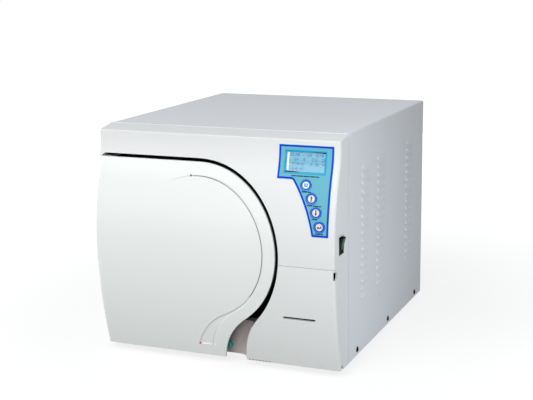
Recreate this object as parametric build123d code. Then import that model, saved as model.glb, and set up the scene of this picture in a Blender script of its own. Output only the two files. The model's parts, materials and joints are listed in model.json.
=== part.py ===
from build123d import *
import math
import os

# Benchtop steam autoclave with a side-hinged, D-shaped front door.
# Millimetres. +X is to the right of someone facing the door, +Y runs to the back, +Z is up.
# The pieces are drawn with y = 0 at the front edge of the sheet-steel cover and z = 0 at the
# casing's bottom edge, and are moved together at the end, so that the origin lies under the
# middle of the whole machine on the surface that it stands on.

# ---- sheet metal, fits and clearances ----
cover_sheet = 1.2
frame_sheet = 1.5
cover_bend = 4.0
hem_width = 3.0
hem_height = 0.9
fit_gap = 0.3
running_gap = 0.06
seam_gap = 0.6
frame_front = -0.6
base_lift = 2.0
rear_recess = 3.0
flange_depth = 12.0
tray_flange = 24.0
foot_height = 12.0

# ---- chamber, round which the casing is laid out ----
chamber_bore = 124.0
chamber_wall = 3.0
chamber_front = -4.0
chamber_length = 349.0
dome_height = 30.0
mouth_flange_width = 21.0
mouth_flange_thickness = 12.0
insulation_thickness = 28.0
end_insulation = 12.0
band_heater_wall = 2.0
band_heater_length = 90.0
plate_lap = 15.0
plate_back = -6.5
plate_thickness = 11.5
gasket_lap = 3.0
gasket_width = 8.0
gasket_groove = 3.0
seal_gap = 0.3

# ---- room round the chamber, which gives the casing its size ----
casing_width = 480.0
waste_tank_height = 50.0
vessel_clearance = 3.5
shelf_clearance = 1.5
clean_tank_height = 46.5
tank_headroom = 8.0
rear_bay = 116.5
column_width = 106.0

# ---- bulged front mouldings ----
panel_wall = 3.0
apex_y = -76.6
apex_rise = 13.0
bottom_y = -42.0
band_y = -43.0
band_flat = 7.8
blend_radius = 134.0
nose_drop = 7.0
nose_fillet = 2.5
corner_fillet = 5.0
left_round = 5.0

# ---- door and the aperture that it closes ----
liner_margin = 11.0
liner_setback = 7.5
liner_back = -6.0
liner_wall = 2.0
liner_inset = 25.0
door_side_inset = 3.0
door_leave_angle = 54.0
door_sweep_radius = 120.0
door_sweep_turn = 52.0
door_gap = 6.5
cover_back = -10.0
rim_depth = 4.0
side_wall_reach = 22.0
aperture_slack = 26.0
gap_end_inset = 6.0
gap_end_slant = 9.0
aperture_low_angle = 40.0
aperture_sweep_slack = 20.0
groove_margin = 24.0
groove_start_angle = 95.0
groove_depth = 2.0
groove_bevel = 1.6

# ---- hinge ----
hinge_inset = 11.0
hinge_y = -16.0
pin_radius = 4.0
barrel_radius = 7.0
bracket_thickness = 6.0
barrel_height = 30.0
arm_thickness = 10.0
lower_bracket_drop = 112.0
upper_bracket_rise = 106.0

# ---- door lock ----
bolt_y = -30.0
bolt_rise = 3.0
bolt_radius = 6.0
bolt_length = 36.0
keeper_window = 9.0
keeper_wall = 3.0

# ---- rack and trays, from the chamber's axis ----
tray_margin = 34.0
tray_front = 14.0
tray_length = 300.0
tray_depth = 15.0
tray_sheet = 1.0
tray_pitch = 46.0
tray_count = 3
lowest_tray = 24.0
rack_play = 3.0
rack_sheet = 1.5
ledge_width = 10.0

# ---- lower right service flap ----
flap_drop = 15.7
flap_depth = 14.0
flap_axis_y = -34.0
flap_axis_z = 6.5
flap_rod_radius = 2.0
lug_radius = 4.0
lug_width = 4.0
tab_root_y = -20.0
flap_clearance_y = -38.0
flap_clearance_z = 8.0
notch_drop = 3.3
notch_height = 16.0
notch_depth = 12.0
paper_slot_z = 98.0
paper_slot_height = 3.0

# ---- plinth and drain beside the flap ----
recess_y = -17.0
recess_wall = 2.5
recess_top = 68.0
recess_round = 24.0
recess_inset = 32.0
drain_offset = 40.4
drain_z = 17.0
drain_radius = 8.0
drain_stem = 3.0
drain_depth = 12.0

# ---- control panel ----
overlay_side_margin = 12.0
overlay_top_margin = 16.5
overlay_width = 102.5
overlay_head = 59.1
overlay_foot = 42.0
overlay_arc_gap = 67.0
overlay_round = 7.0
overlay_film = 0.8
lcd_side_margin = 13.5
lcd_width = 74.0
lcd_top_margin = 11.5
lcd_height = 36.0
key_margin = 17.3
key_first_angle = 13.97
key_step_angle = 5.9
key_radius = 9.2
key_bore = 9.5
key_length = 6.0
key_proud = 1.4
key_names = ("menu", "up", "down", "enter")
window_inset = 0.8
window_depth = 1.2
board_front = -34.0
board_thickness = 1.6
board_margin = 3.0

# ---- power switch on the right side ----
rocker_y = -37.0
rocker_rise = 21.0
rocker_half_depth = 16.0
rocker_half_height = 18.0
rocker_rim = 3.5
rocker_inset = 6.0
rocker_tilt = 8.0
switch_depth = 26.0

# ---- printer bay ----
bay_width = 93.5
bay_side = 8.0
bay_below = 38.0
bay_above = 74.0
roll_y = -27.0
roll_rise = 58.0
roll_radius = 22.0
roll_width = 57.0
roll_inset = 70.1
slot_overlength = 4.2

# ---- louvres of the cover ----
louvre_length = 47.0
louvre_height = 9.0
louvre_rise = 4.0
louvre_pitch = 15.4
louvre_rows = 17
louvre_first_z = 105.0
louvre_columns = (97.0, 195.0, 395.5)

# ---- fixings and vents ----
cover_screw_z = 11.0
screw_radius = 2.0
screw_head_radius = 4.0
screw_head = 2.2
screw_margin = 15.0
foot_inset = 45.0
foot_radius = 20.0
vent_length = 160.0

# ---- rear panel and services ----
fan_rise = 58.0
fan_size = 119.0
fan_depth = 38.0
condenser_fins = 11
inlet_z = 62.0
inlet_inset = 60.0
fuse_offsets = (52.0, 80.0)
valve_inset = 75.0
valve_rise = 128.0
overflow_inset = 55.0
pump_inset = 58.0
generator_y = 330.0
generator_radius = 36.0
generator_top = 150.0

# ---- worked out from the above: the vessel and the casing ----
mouth_flange_radius = chamber_bore + mouth_flange_width
insulation_radius = chamber_bore + chamber_wall + insulation_thickness
plate_radius = chamber_bore + plate_lap
gasket_inner = chamber_bore + gasket_lap
gasket_outer = gasket_inner + gasket_width
shoulder = chamber_front + chamber_length
vessel_back = shoulder + dome_height + end_insulation
floor_top = base_lift + frame_sheet
chamber_z = floor_top + waste_tank_height + vessel_clearance + insulation_radius
shelf_low = chamber_z + insulation_radius + shelf_clearance
shelf_top = shelf_low + frame_sheet
frame_top = shelf_top + clean_tank_height + tank_headroom
casing_height = frame_top + cover_sheet + fit_gap
rear_plate_front = vessel_back + rear_bay
rear_plate_back = rear_plate_front + frame_sheet
casing_depth = rear_plate_back + rear_recess
frame_back = frame_front + frame_sheet
half_width = casing_width / 2
inner_half = half_width - cover_sheet - fit_gap
far = 900.0

# ---- the door, its aperture and its hinge ----
liner_radius = plate_radius + liner_margin
door_radius = liner_radius + liner_setback
aperture_radius = door_radius + door_gap
aperture_low_radius = aperture_radius + aperture_slack
aperture_sweep_radius = door_sweep_radius + aperture_sweep_slack
groove_radius = door_radius - groove_margin
chamber_x = half_width - column_width - aperture_radius
door_left = -half_width + door_side_inset
liner_left = door_left + liner_inset
recess_left = door_left + recess_inset
hinge_x = door_left + hinge_inset
lower_bracket_z = chamber_z - lower_bracket_drop
upper_bracket_z = chamber_z + upper_bracket_rise
lower_barrel_z = lower_bracket_z + bracket_thickness + fit_gap
lower_barrel = (lower_barrel_z, lower_barrel_z + barrel_height)
upper_barrel = (upper_bracket_z - fit_gap - barrel_height, upper_bracket_z - fit_gap)
bolt_tip = chamber_x + aperture_radius + 0.5
bolt_z = chamber_z + bolt_rise
drain_x = chamber_x + drain_offset

# ---- the bulged front's outline ----
apex_z = chamber_z + apex_rise
nose_height = casing_height - nose_drop
blend_end_z = nose_height - band_flat
blend_rise = blend_end_z - apex_z
blend_reach = band_y - apex_y
crown_radius = (blend_rise**2 + blend_reach**2) / (2 * blend_reach) - blend_radius
blend_angle = math.degrees(math.asin(blend_rise / (crown_radius + blend_radius)))
low_arc_radius = ((bottom_y - apex_y) ** 2 + apex_z**2) / (2 * (bottom_y - apex_y))

# ---- the right-hand column ----
overlay_right = half_width - overlay_side_margin
overlay_left = overlay_right - overlay_width
overlay_top = casing_height - overlay_top_margin
overlay_step = overlay_top - overlay_head
overlay_bottom = chamber_z + overlay_foot
overlay_radius = aperture_radius + overlay_arc_gap
lcd_left = overlay_left + lcd_side_margin
lcd_right = lcd_left + lcd_width
lcd_top = overlay_top - lcd_top_margin
lcd_bottom = lcd_top - lcd_height
key_circle = overlay_radius + key_margin
rocker_z = chamber_z + rocker_rise
rocker_pivot_x = half_width - rocker_inset
flap_top = chamber_z - flap_drop
notch_top = flap_top - notch_drop
slot_middle = half_width - roll_inset
paper_slot_x = (
    slot_middle - (roll_width + slot_overlength) / 2,
    slot_middle + (roll_width + slot_overlength) / 2,
)
bay_right = half_width - bay_side
bay_left = bay_right - bay_width
bay_bottom = paper_slot_z - bay_below
bay_top = paper_slot_z + bay_above
roll_z = paper_slot_z + roll_rise

# ---- rack, fixings and rear fittings ----
tray_half_width = chamber_bore - tray_margin
rack_side = tray_half_width + rack_play
rack_low = fit_gap - math.sqrt(chamber_bore**2 - (rack_side + rack_sheet) ** 2)
tray_levels = [rack_low + lowest_tray + i * tray_pitch for i in range(tray_count)]
cover_screw_y = (53.5, casing_depth / 2, casing_depth - 51)
foot_x = half_width - foot_inset
foot_y = (60.0, casing_depth - 58)
vent_x = chamber_x
vent_y = [casing_depth - 148 + 15 * i for i in range(7)]
fan_x = chamber_x
fan_z = chamber_z + fan_rise
inlet_x = half_width - inlet_inset
fuse_x = [inlet_x - offset for offset in fuse_offsets]
valve_x = valve_inset - half_width
valve_z = chamber_z + valve_rise
overflow_x = overflow_inset - half_width
overflow_z = inlet_z
pump_x = half_width - pump_inset
rear_screw_x = half_width - screw_margin
rear_screw_places = [
    (x, z) for x in (-rear_screw_x, 0.0, rear_screw_x) for z in (screw_margin, casing_height - 12)
] + [(x, z) for x in (-rear_screw_x, rear_screw_x) for z in (150.0, 285.0)]


# ---------------------------------------------------------------- shape helpers
def block(x, y, z):
    """A box from three (low, high) pairs."""
    size = [pair[1] - pair[0] for pair in (x, y, z)]
    middle = [(pair[1] + pair[0]) / 2 for pair in (x, y, z)]
    return Pos(*middle) * Box(*size)


def rod_x(y, z, radius, low, high):
    return Pos((low + high) / 2, y, z) * Rot(0, 90, 0) * Cylinder(radius, high - low)


def rod_y(x, z, radius, low, high):
    return Pos(x, (low + high) / 2, z) * Rot(90, 0, 0) * Cylinder(radius, high - low)


def rod_z(x, y, radius, low, high):
    return Pos(x, y, (low + high) / 2) * Cylinder(radius, high - low)


def ring_y(x, z, outer, inner, low, high):
    return rod_y(x, z, outer, low, high) - rod_y(x, z, inner, low - 1, high + 1)


def slab(outline, low, high):
    """An outline drawn in X and Z, as thick as low to high in Y."""
    return Pos(0, high, 0) * extrude(Plane.XZ * outline, high - low)


def rectangle(x, z):
    """A face in sketch coordinates from two (low, high) pairs."""
    middle = Pos((x[0] + x[1]) / 2, (z[0] + z[1]) / 2)
    return middle * Rectangle(x[1] - x[0], z[1] - z[0])


def on_circle(centre, radius, degrees):
    angle = math.radians(degrees)
    return (centre[0] + radius * math.cos(angle), centre[1] + radius * math.sin(angle))


# ---------------------------------------------------------------- the bulged front
def front_y(z):
    """How far forward the bulged front lies at a height."""
    if z < apex_z:
        return apex_y + low_arc_radius - math.sqrt(low_arc_radius**2 - (apex_z - z) ** 2)
    return apex_y + crown_radius - math.sqrt(crown_radius**2 - (z - apex_z) ** 2)


def front_tilt(z):
    """How far the bulged front leans back at a height above its apex, in degrees."""
    return math.degrees(math.asin((z - apex_z) / crown_radius))


def front_face(inset, floor):
    """The side outline of the front mouldings, moved inwards by inset, in Y and Z."""
    low_centre = (apex_y + low_arc_radius, apex_z)
    top_centre = (apex_y + crown_radius, apex_z)
    blend_centre = (band_y - blend_radius, blend_end_z)
    low_radius = low_arc_radius - inset
    top_radius = crown_radius - inset
    floor_angle = 180 + math.degrees(math.asin((apex_z - floor) / low_radius))
    low = ThreePointArc(
        on_circle(low_centre, low_radius, floor_angle),
        on_circle(low_centre, low_radius, (floor_angle + 180) / 2),
        on_circle(low_centre, low_radius, 180),
    )
    crown = ThreePointArc(
        low @ 1,
        on_circle(top_centre, top_radius, 180 - blend_angle / 2),
        on_circle(top_centre, top_radius, 180 - blend_angle),
    )
    blend = ThreePointArc(
        crown @ 1,
        on_circle(blend_centre, blend_radius + inset, -blend_angle / 2),
        on_circle(blend_centre, blend_radius + inset, 0),
    )
    slope = (casing_height - nose_height) / -band_y
    drop = inset * math.sqrt(1 + slope**2)
    corner = (band_y + inset, nose_height + slope * inset - drop)
    back_top = (frame_front, casing_height + slope * frame_front - drop)
    back_bottom = (frame_front, floor)
    rest = Polyline(blend @ 1, corner, back_top, back_bottom, low @ 0)
    return make_face(Curve() + [low, crown, blend, rest])


def front_block(inset, x, floor=0.0):
    """The bulged front's whole volume between two x values, moved inwards by inset."""
    width = x[1] - x[0]
    return Pos(x[0], 0, 0) * extrude(Plane.YZ * front_face(inset, floor), width)


# ---------------------------------------------------------------- outlines in X and Z
def sweep_edge(top_z, radius, low_turn, low_radius, sweep_radius, sweep_turn):
    """A quarter circle, a slacker arc below it and a reverse sweep down to the base."""
    quarter = JernArc((chamber_x, top_z), (1, 0), radius, -90)
    low = JernArc(quarter @ 1, quarter % 1, low_radius, -low_turn)
    return [quarter, low, JernArc(low @ 1, low % 1, sweep_radius, sweep_turn)]


def closed_left(edges, left, top_z):
    """Closes a chain of edges that starts at top_z down its left side."""
    end = edges[-1] @ 1
    back = Polyline(end, (left, end.Y), (left, top_z), edges[0] @ 0)
    return make_face(Curve() + [*edges, back])


def door_outline(inset=0.0):
    radius = door_radius - inset
    sweep = door_sweep_radius + inset
    top_z = chamber_z + radius
    edges = sweep_edge(top_z, radius, door_leave_angle, radius, sweep, door_sweep_turn)
    face = closed_left(edges, door_left + inset, chamber_z + radius)
    return face & rectangle((-far, far), (inset, far))


def aperture_outline(grow=0.0):
    radius = aperture_radius + grow
    edges = sweep_edge(
        chamber_z + radius,
        radius,
        aperture_low_angle,
        aperture_low_radius + grow,
        aperture_sweep_radius - grow,
        aperture_low_angle,
    )
    face = closed_left(edges, -far, chamber_z + radius)
    end = edges[-1] @ 1
    return face + rectangle((-far, end.X), (-far, end.Y))


def liner_outline(inset=0.0):
    """A rectangle with a half-round right end, concentric with the chamber."""
    radius = liner_radius - inset
    straight = rectangle((liner_left, chamber_x), (chamber_z - radius, chamber_z + radius))
    return straight + Pos(chamber_x, chamber_z) * Circle(radius)


def overlay_outline(grow=0.0):
    """The control panel film: a rectangle cut back by an arc round the door's centre."""
    right = overlay_right + grow
    whole = rectangle((overlay_left - grow, right), (overlay_bottom - grow, overlay_top + grow))
    head = rectangle((overlay_left - grow, right), (overlay_step - grow, overlay_top + grow))
    face = (whole - Pos(chamber_x, chamber_z) * Circle(overlay_radius - grow)) + head
    shelf = [v for v in face.vertices() if abs(v.Y - overlay_step + grow) < 0.01]
    return fillet(sorted(shelf, key=lambda v: v.X)[-1], overlay_round - grow)


def lcd_outline(grow=0.0):
    return rectangle((lcd_left - grow, lcd_right + grow), (lcd_bottom - grow, lcd_top + grow))


def key_place(index):
    """Where a key's face meets the bulged front, with local Z pointing out of it."""
    angle = math.radians(key_first_angle + index * key_step_angle)
    x = chamber_x + key_circle * math.cos(angle)
    z = chamber_z + key_circle * math.sin(angle)
    return Pos(x, front_y(z), z) * Rot(90 - front_tilt(z), 0, 0)


# ---------------------------------------------------------------- cover, base and frames
def louvre(grow):
    """A pressed louvre on the +X side: closed above and at its ends, open below."""
    wall = cover_sheet - grow
    low = 0.0 if grow else -1.0
    root = Plane.YZ * rectangle(
        (-louvre_length / 2 + wall, louvre_length / 2 - wall), (low, louvre_height - wall)
    )
    half_lip = louvre_length / 2 - louvre_rise - wall / 2
    lip = Plane.YZ.offset(louvre_rise - wall) * rectangle((-half_lip, half_lip), (low, 1.4 + low))
    return loft([root, lip])


def side_sheet():
    """The cover's right-hand wall below its bend, with its columns of louvres."""
    sheet = block((-cover_sheet, 0), (0, casing_depth), (0, casing_height - 3 * cover_bend))
    hood, hollow = louvre(cover_sheet), louvre(0.0)
    half_slit = louvre_length / 2 - cover_sheet
    hollow += block(
        (-cover_sheet - 1, 0.01), (-half_slit, half_slit), (0, louvre_height - cover_sheet)
    )
    places = [
        Pos(0, y, louvre_first_z + row * louvre_pitch)
        for y in louvre_columns
        for row in range(louvre_rows)
    ]
    sheet = sheet + [place * hood for place in places]
    sheet = sheet - [place * hollow for place in places]
    for y in cover_screw_y:
        sheet -= rod_x(y, cover_screw_z, screw_radius + fit_gap, -cover_sheet - 1, 1)
    return Pos(half_width, 0, 0) * sheet


def cover_hem():
    """The rolled front edge of the cover, standing a little proud of its top and sides."""
    half, high = half_width + hem_height, casing_height + hem_height
    hem = block((-half, half), (0, hem_width), (0, high))
    hem = fillet(hem.edges().filter_by(Axis.Y).group_by(Axis.Z)[-1], cover_bend + hem_height)
    rims = [hem.faces().sort_by(Axis.Y)[0], hem.faces().sort_by(Axis.Y)[-1]]
    edges = [e for face in rims for e in face.edges() if e.bounding_box().max.Z > 1]
    return chamfer(edges, 0.7 * hem_height)


def outer_cover():
    """The U-shaped sheet-steel cover: two louvred walls and the bent top."""
    along, low = (0, casing_depth), casing_height - 3 * cover_bend
    top = block((-half_width, half_width), along, (low, casing_height))
    top = fillet(top.edges().filter_by(Axis.Y).group_by(Axis.Z)[-1], cover_bend)
    inner_x = half_width - cover_sheet
    inner = block((-inner_x, inner_x), (-1, casing_depth + 1), (low - 1, casing_height - cover_sheet))
    inner = fillet(inner.edges().filter_by(Axis.Y).group_by(Axis.Z)[-1], cover_bend - cover_sheet)
    right = side_sheet()
    cover = (top - inner) + right + mirror(right, Plane.YZ)
    return cover + (cover_hem() - inner - block((-inner_x, inner_x), (-1, hem_width + 1), (-1, low)))


def base_tray():
    across = (-inner_half, inner_half)
    along = (frame_back, rear_plate_front)
    pan = block(across, along, (base_lift, base_lift + tray_flange))
    wall = frame_sheet
    pan -= block(
        (-inner_half + wall, inner_half - wall),
        (frame_back + wall, rear_plate_front - wall),
        (floor_top, base_lift + tray_flange + 1),
    )
    for side in (-1, 1):
        for y in cover_screw_y:
            pan -= Pos(side * inner_half, 0, 0) * rod_x(y, cover_screw_z, screw_radius, -2, 2)
        for y in foot_y:
            pan -= rod_z(side * foot_x, y, screw_radius, 0, floor_top + 1)
    for x, z in rear_screw_places:
        pan -= rod_y(x, z, screw_radius, rear_plate_front - frame_sheet - 1, rear_plate_front + 1)
    return pan - [Pos(vent_x, y, base_lift) * Box(vent_length, 5, 4) for y in vent_y]


def frame_plate(front, back, flange_side):
    """A full-size upright plate whose top and side flanges run inwards."""
    plate = block((-inner_half, inner_half), (front, back), (base_lift, frame_top))
    plate = fillet(plate.edges().filter_by(Axis.Y).group_by(Axis.Z)[-1], cover_bend)
    ends = (back, back + flange_depth) if flange_side > 0 else (front - flange_depth, front)
    above = base_lift + tray_flange + 4
    rim = block((-inner_half, inner_half), ends, (above, frame_top))
    rim = fillet(rim.edges().filter_by(Axis.Y).group_by(Axis.Z)[-1], cover_bend)
    inside = inner_half - frame_sheet
    hollow = block(
        (-inside, inside), (ends[0] - 1, ends[1] + 1), (above - 1, frame_top - frame_sheet)
    )
    bend = cover_bend - frame_sheet
    return plate + (rim - fillet(hollow.edges().filter_by(Axis.Y).group_by(Axis.Z)[-1], bend))


def front_frame():
    frame = frame_plate(frame_front, frame_back, 1)
    frame -= rod_y(chamber_x, chamber_z, mouth_flange_radius + fit_gap, -5, 5)
    frame -= block((bay_left, bay_right), (-5, 5), (bay_bottom, bay_top))
    return frame - block((bay_right - 67, bay_right - 32), (-5, 5), (lcd_bottom - 52, lcd_bottom - 2))


def rear_panel():
    panel = frame_plate(rear_plate_front, rear_plate_back, -1)
    reach = (rear_plate_front - 1, rear_plate_back + 1)
    for row in range(-5, 6):
        z = row * 9.5
        half = math.sqrt((fan_size / 2 - 4) ** 2 - z**2)
        slot = rectangle((-half, half), (-2.5, 2.5))
        slot = fillet(slot.vertices(), 2.4)
        panel -= slab(Pos(fan_x, fan_z + z) * slot, *reach)
    panel -= block((inlet_x - 14.2, inlet_x + 14.2), reach, (inlet_z - 10.2, inlet_z + 10.2))
    for x in fuse_x:
        panel -= rod_y(x, inlet_z, 6.2, *reach)
    panel -= rod_y(valve_x, valve_z, 7.2, *reach)
    panel -= rod_y(overflow_x, overflow_z, 6.2, *reach)
    for x, z in rear_screw_places:
        panel -= rod_y(x, z, screw_radius, *reach)
    return panel


def feet():
    """Four rubber feet, each with its screw's pocket, standing on the bench."""
    foot = rod_z(0, 0, foot_radius, -foot_height, base_lift)
    foot = chamfer(foot.edges().group_by(Axis.Z)[0], 3)
    foot -= rod_z(0, 0, 6, -foot_height - 1, -4)
    foot -= rod_z(0, 0, screw_radius, -5, base_lift + 1)
    return [Pos(side * foot_x, y, 0) * foot for side in (-1, 1) for y in foot_y]


def pan_screw(length):
    """A pan-head screw along Z: its head stands on z = 0 and its shank goes down."""
    head = rod_z(0, 0, screw_head_radius, 0, screw_head)
    head = chamfer(head.edges().group_by(Axis.Z)[-1], 0.8)
    return head + rod_z(0, 0, screw_radius - running_gap, -length, 0.1)


def foot_screws():
    screw = pan_screw(6) - Pos(0, 0, screw_head) * Box(1, 5, 1.6)
    turn = Rot(180, 0, 0)
    return [Pos(s * foot_x, y, -4) * turn * screw for s in (-1, 1) for y in foot_y]


def cover_screws():
    screw = pan_screw(6)
    return [
        Pos(side * half_width, y, cover_screw_z) * Rot(0, side * 90, 0) * screw
        for side in (-1, 1)
        for y in cover_screw_y
    ]


def rear_screws():
    screw = pan_screw(5)
    return [Pos(x, rear_plate_back, z) * Rot(-90, 0, 0) * screw for x, z in rear_screw_places]


def upper_shelf():
    """The deck over the chamber, held between the front and rear plates."""
    across = (40 - half_width, half_width - 8)
    deck = block(across, (frame_back, rear_plate_front), (shelf_low, shelf_top))
    lip = block(across, (frame_back, frame_back + frame_sheet), (shelf_low - 9, shelf_low + 1))
    return deck + lip + Pos(0, rear_plate_front - frame_back - frame_sheet, 0) * lip


# ---------------------------------------------------------------- front mouldings
low_arc_centre = (chamber_x + aperture_radius - aperture_low_radius, chamber_z)
low_arc_end = on_circle(low_arc_centre, aperture_low_radius, -aperture_low_angle)
aperture_edge_x = low_arc_end[0] - aperture_sweep_radius * (
    1 - math.cos(math.radians(aperture_low_angle))
)
tab_left = aperture_edge_x + panel_wall + seam_gap
tab_right = half_width - panel_wall - seam_gap - lug_width


def upright_edges(solid, x):
    """The front corner edges of a moulding that lie in the plane at x."""
    return [
        edge
        for edge in solid.edges()
        if abs(edge.bounding_box().min.X - x) < 0.01
        and abs(edge.bounding_box().max.X - x) < 0.01
        and edge.bounding_box().max.Y < band_y + 2
    ]


def column_outline(grow, z):
    """The front beside and over the aperture, between two heights."""
    whole = rectangle((-half_width + grow, half_width - grow), z)
    return whole - aperture_outline(grow)


def gap_end():
    """Where the bezel comes down to the door and closes the gap at its left end."""
    top, low = chamber_z + aperture_radius + 1, chamber_z + door_radius + seam_gap
    tip = -half_width + gap_end_inset
    return make_face(
        Polyline(
            (-half_width, low), (tip, low), (tip + gap_end_slant, top), (-half_width, top), close=True
        )
    )


def flap_outline(inset):
    return column_outline(inset, (inset, flap_top - inset))


def behind(outline):
    """An outline as deep as the front mouldings can be."""
    return slab(outline, -far, frame_front)


def flap_lug(x, wall_y):
    """A lug round the flap's hinge line at x, reaching to a wall at wall_y."""
    width = (x, x + lug_width)
    lug = rod_x(flap_axis_y, flap_axis_z, lug_radius, *width)
    top = (flap_axis_z - 1, flap_axis_z + lug_radius)
    return lug + block(width, sorted((flap_axis_y, wall_y)), top)


def key_bores():
    return [key_place(i) * Cylinder(key_bore, 12) for i in range(4)]


def front_bezel():
    """The fixed moulding: top band and right-hand column, hollow and open at the back."""
    across = (-half_width, half_width)
    seam = flap_top + seam_gap
    upper = front_block(0, across) & behind(column_outline(0, (seam, far)) + gap_end())
    upper = fillet(upright_edges(upper, half_width), corner_fillet)
    upper = fillet(upright_edges(upper, -half_width), left_round)
    rim = upper.faces().sort_by(Axis.Z)[-1].edges()
    upper = fillet([e for e in rim if e.bounding_box().min.Y < frame_front - 1], nose_fillet)
    lower = front_block(flap_depth + seam_gap, across)
    lower &= behind(column_outline(0, (0, seam + panel_wall)))
    bezel = upper + lower
    hollow = front_block(panel_wall, across, panel_wall)
    bezel -= hollow & slab(column_outline(panel_wall, (seam + panel_wall, far)), -far, 1)
    bezel -= slab(column_outline(panel_wall, (panel_wall, seam)), -far, 1)
    tab_root = (flap_axis_z - 1, flap_axis_z + lug_radius)
    for x, wall in ((tab_left, aperture_edge_x + 1), (tab_right, half_width - 1)):
        bezel += flap_lug(x, frame_front)
        bezel += block(sorted((x + lug_width / 2, wall)), (tab_root_y, frame_front), tab_root)
    rod_end = (tab_left - 1, tab_right + lug_width + 1)
    bezel -= rod_x(flap_axis_y, flap_axis_z, flap_rod_radius, *rod_end)
    bezel -= key_bores()
    bezel -= slab(lcd_outline(fit_gap), -far, -20)
    switch_y = (rocker_y - rocker_half_depth - fit_gap, rocker_y + rocker_half_depth + fit_gap)
    switch_z = (rocker_z - rocker_half_height - fit_gap, rocker_z + rocker_half_height + fit_gap)
    bezel -= block((half_width - panel_wall - 1, half_width + 1), switch_y, switch_z)
    mouth = Pos(half_width + 0.01, rocker_y, rocker_z) * Rot(0, 90, 0) * loft([
        Rectangle(2 * (rocker_half_height + rocker_rim), 2 * (rocker_half_depth + rocker_rim)),
        Pos(0, 0, -2) * Rectangle(2 * rocker_half_height, 2 * rocker_half_depth),
    ])
    bezel -= mouth
    return bezel - rod_x(bolt_y, bolt_z, bolt_radius + fit_gap, chamber_x + door_radius, bolt_tip + 9)


def service_flap():
    """The lower right panel: a skin with shallow returns that folds down on a rod."""
    across = (-half_width, half_width)
    skin = front_block(0, across) & behind(flap_outline(0))
    skin = fillet(upright_edges(skin, half_width), corner_fillet)
    skin -= front_block(flap_depth, across)
    inner = column_outline(panel_wall, (-1, flap_top - panel_wall))
    skin -= front_block(panel_wall, across) & behind(inner)
    skin -= block(across, (flap_clearance_y, 0), (-1, flap_clearance_z))
    half_slot = paper_slot_height / 2
    skin -= block(paper_slot_x, (-far, 0), (paper_slot_z - half_slot, paper_slot_z + half_slot))
    notch_radius = notch_height / 2
    notch_middle = notch_top - notch_radius
    notch_y = front_y(notch_middle) + notch_depth - notch_radius
    skin -= rod_x(notch_y, notch_middle, notch_radius, half_width - panel_wall - 0.5, far)
    for x in (tab_left + lug_width + fit_gap, tab_right - lug_width - fit_gap):
        skin += flap_lug(x, bottom_y)
    bore = rod_x(flap_axis_y, flap_axis_z, flap_rod_radius + running_gap, 0, far)
    return skin - bore


def flap_rod():
    return rod_x(flap_axis_y, flap_axis_z, flap_rod_radius, tab_left - 0.5, tab_right + lug_width + 0.5)


def recess_outline(grow, left, low, high):
    """The plinth's outline: beside the aperture's edge and clear of the door's tub."""
    radius = liner_radius + 8 + grow
    clear = Pos(chamber_x, chamber_z) * Circle(radius)
    clear += rectangle((-far, chamber_x), (chamber_z - radius, far))
    return (aperture_outline(-fit_gap - grow) & rectangle((left, far), (low, high))) - clear


def service_recess():
    """The plinth below the chamber that curves forward to the flap's left edge."""
    panel = front_block(2 * recess_wall, (-half_width, half_width))
    panel &= behind(recess_outline(0, recess_left, fit_gap, recess_top))
    front = aperture_outline(-fit_gap - recess_wall) & rectangle((-far, far), (-50, 2 * recess_top))
    scoop = slab(front, -far, recess_y)
    rounded = [
        e for e in scoop.edges()
        if e.bounding_box().min.Y > recess_y - 0.1 and e.bounding_box().min.X > aperture_edge_x - 9
    ]
    panel -= fillet(rounded, recess_round)
    wall = recess_wall
    back = recess_outline(wall, recess_left + wall, fit_gap + wall, recess_top - wall)
    panel -= slab(back, recess_y + wall, frame_front + 1)
    return panel - rod_y(drain_x, drain_z, drain_stem + fit_gap, recess_y - 1, 0)


def drain_valve():
    back = recess_y + recess_wall
    body = rod_y(drain_x, drain_z, 9, back, frame_front)
    body += block((drain_x - 5, drain_x + 5), (back + 3, frame_front), (drain_z, drain_z + 24))
    return body - rod_y(drain_x, drain_z, drain_stem + running_gap, back - 1, back + 6)


def drain_knob():
    front, back = recess_y - fit_gap - drain_depth, recess_y - fit_gap
    knob = rod_y(drain_x, drain_z, drain_radius, front, back)
    knob = chamfer(knob.edges().group_by(Axis.Y)[0], 1.2)
    for i in range(8):
        scoop = rod_y(drain_radius + 1, 0, 2, front - 1, back - 3)
        knob -= Pos(drain_x, 0, drain_z) * Rot(0, i * 45, 0) * scoop
    return knob + rod_y(drain_x, drain_z, drain_stem, back - 0.1, recess_y + recess_wall + 5.5)


# ---------------------------------------------------------------- control panel
def control_overlay():
    """The printed film on the bulged front, with holes for the keys and the display."""
    across = (-half_width, half_width)
    film = front_block(-overlay_film, across) & behind(overlay_outline())
    film -= front_block(0, across)
    film -= slab(lcd_outline(fit_gap), -far, 0)
    return film - key_bores()


def display_window():
    across = (-half_width, half_width)
    pane = front_block(window_inset, across) & behind(lcd_outline())
    return pane - front_block(window_inset + window_depth, across)


def display_module():
    """The display behind its window, stepped back where it lies behind the bezel."""
    across = (-half_width, half_width)
    inset = window_inset + window_depth + fit_gap
    head = front_block(inset, across) & slab(lcd_outline(-0.5), -far, board_front)
    body = front_block(panel_wall + fit_gap, across) & slab(lcd_outline(3), -far, board_front)
    return head + body


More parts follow.
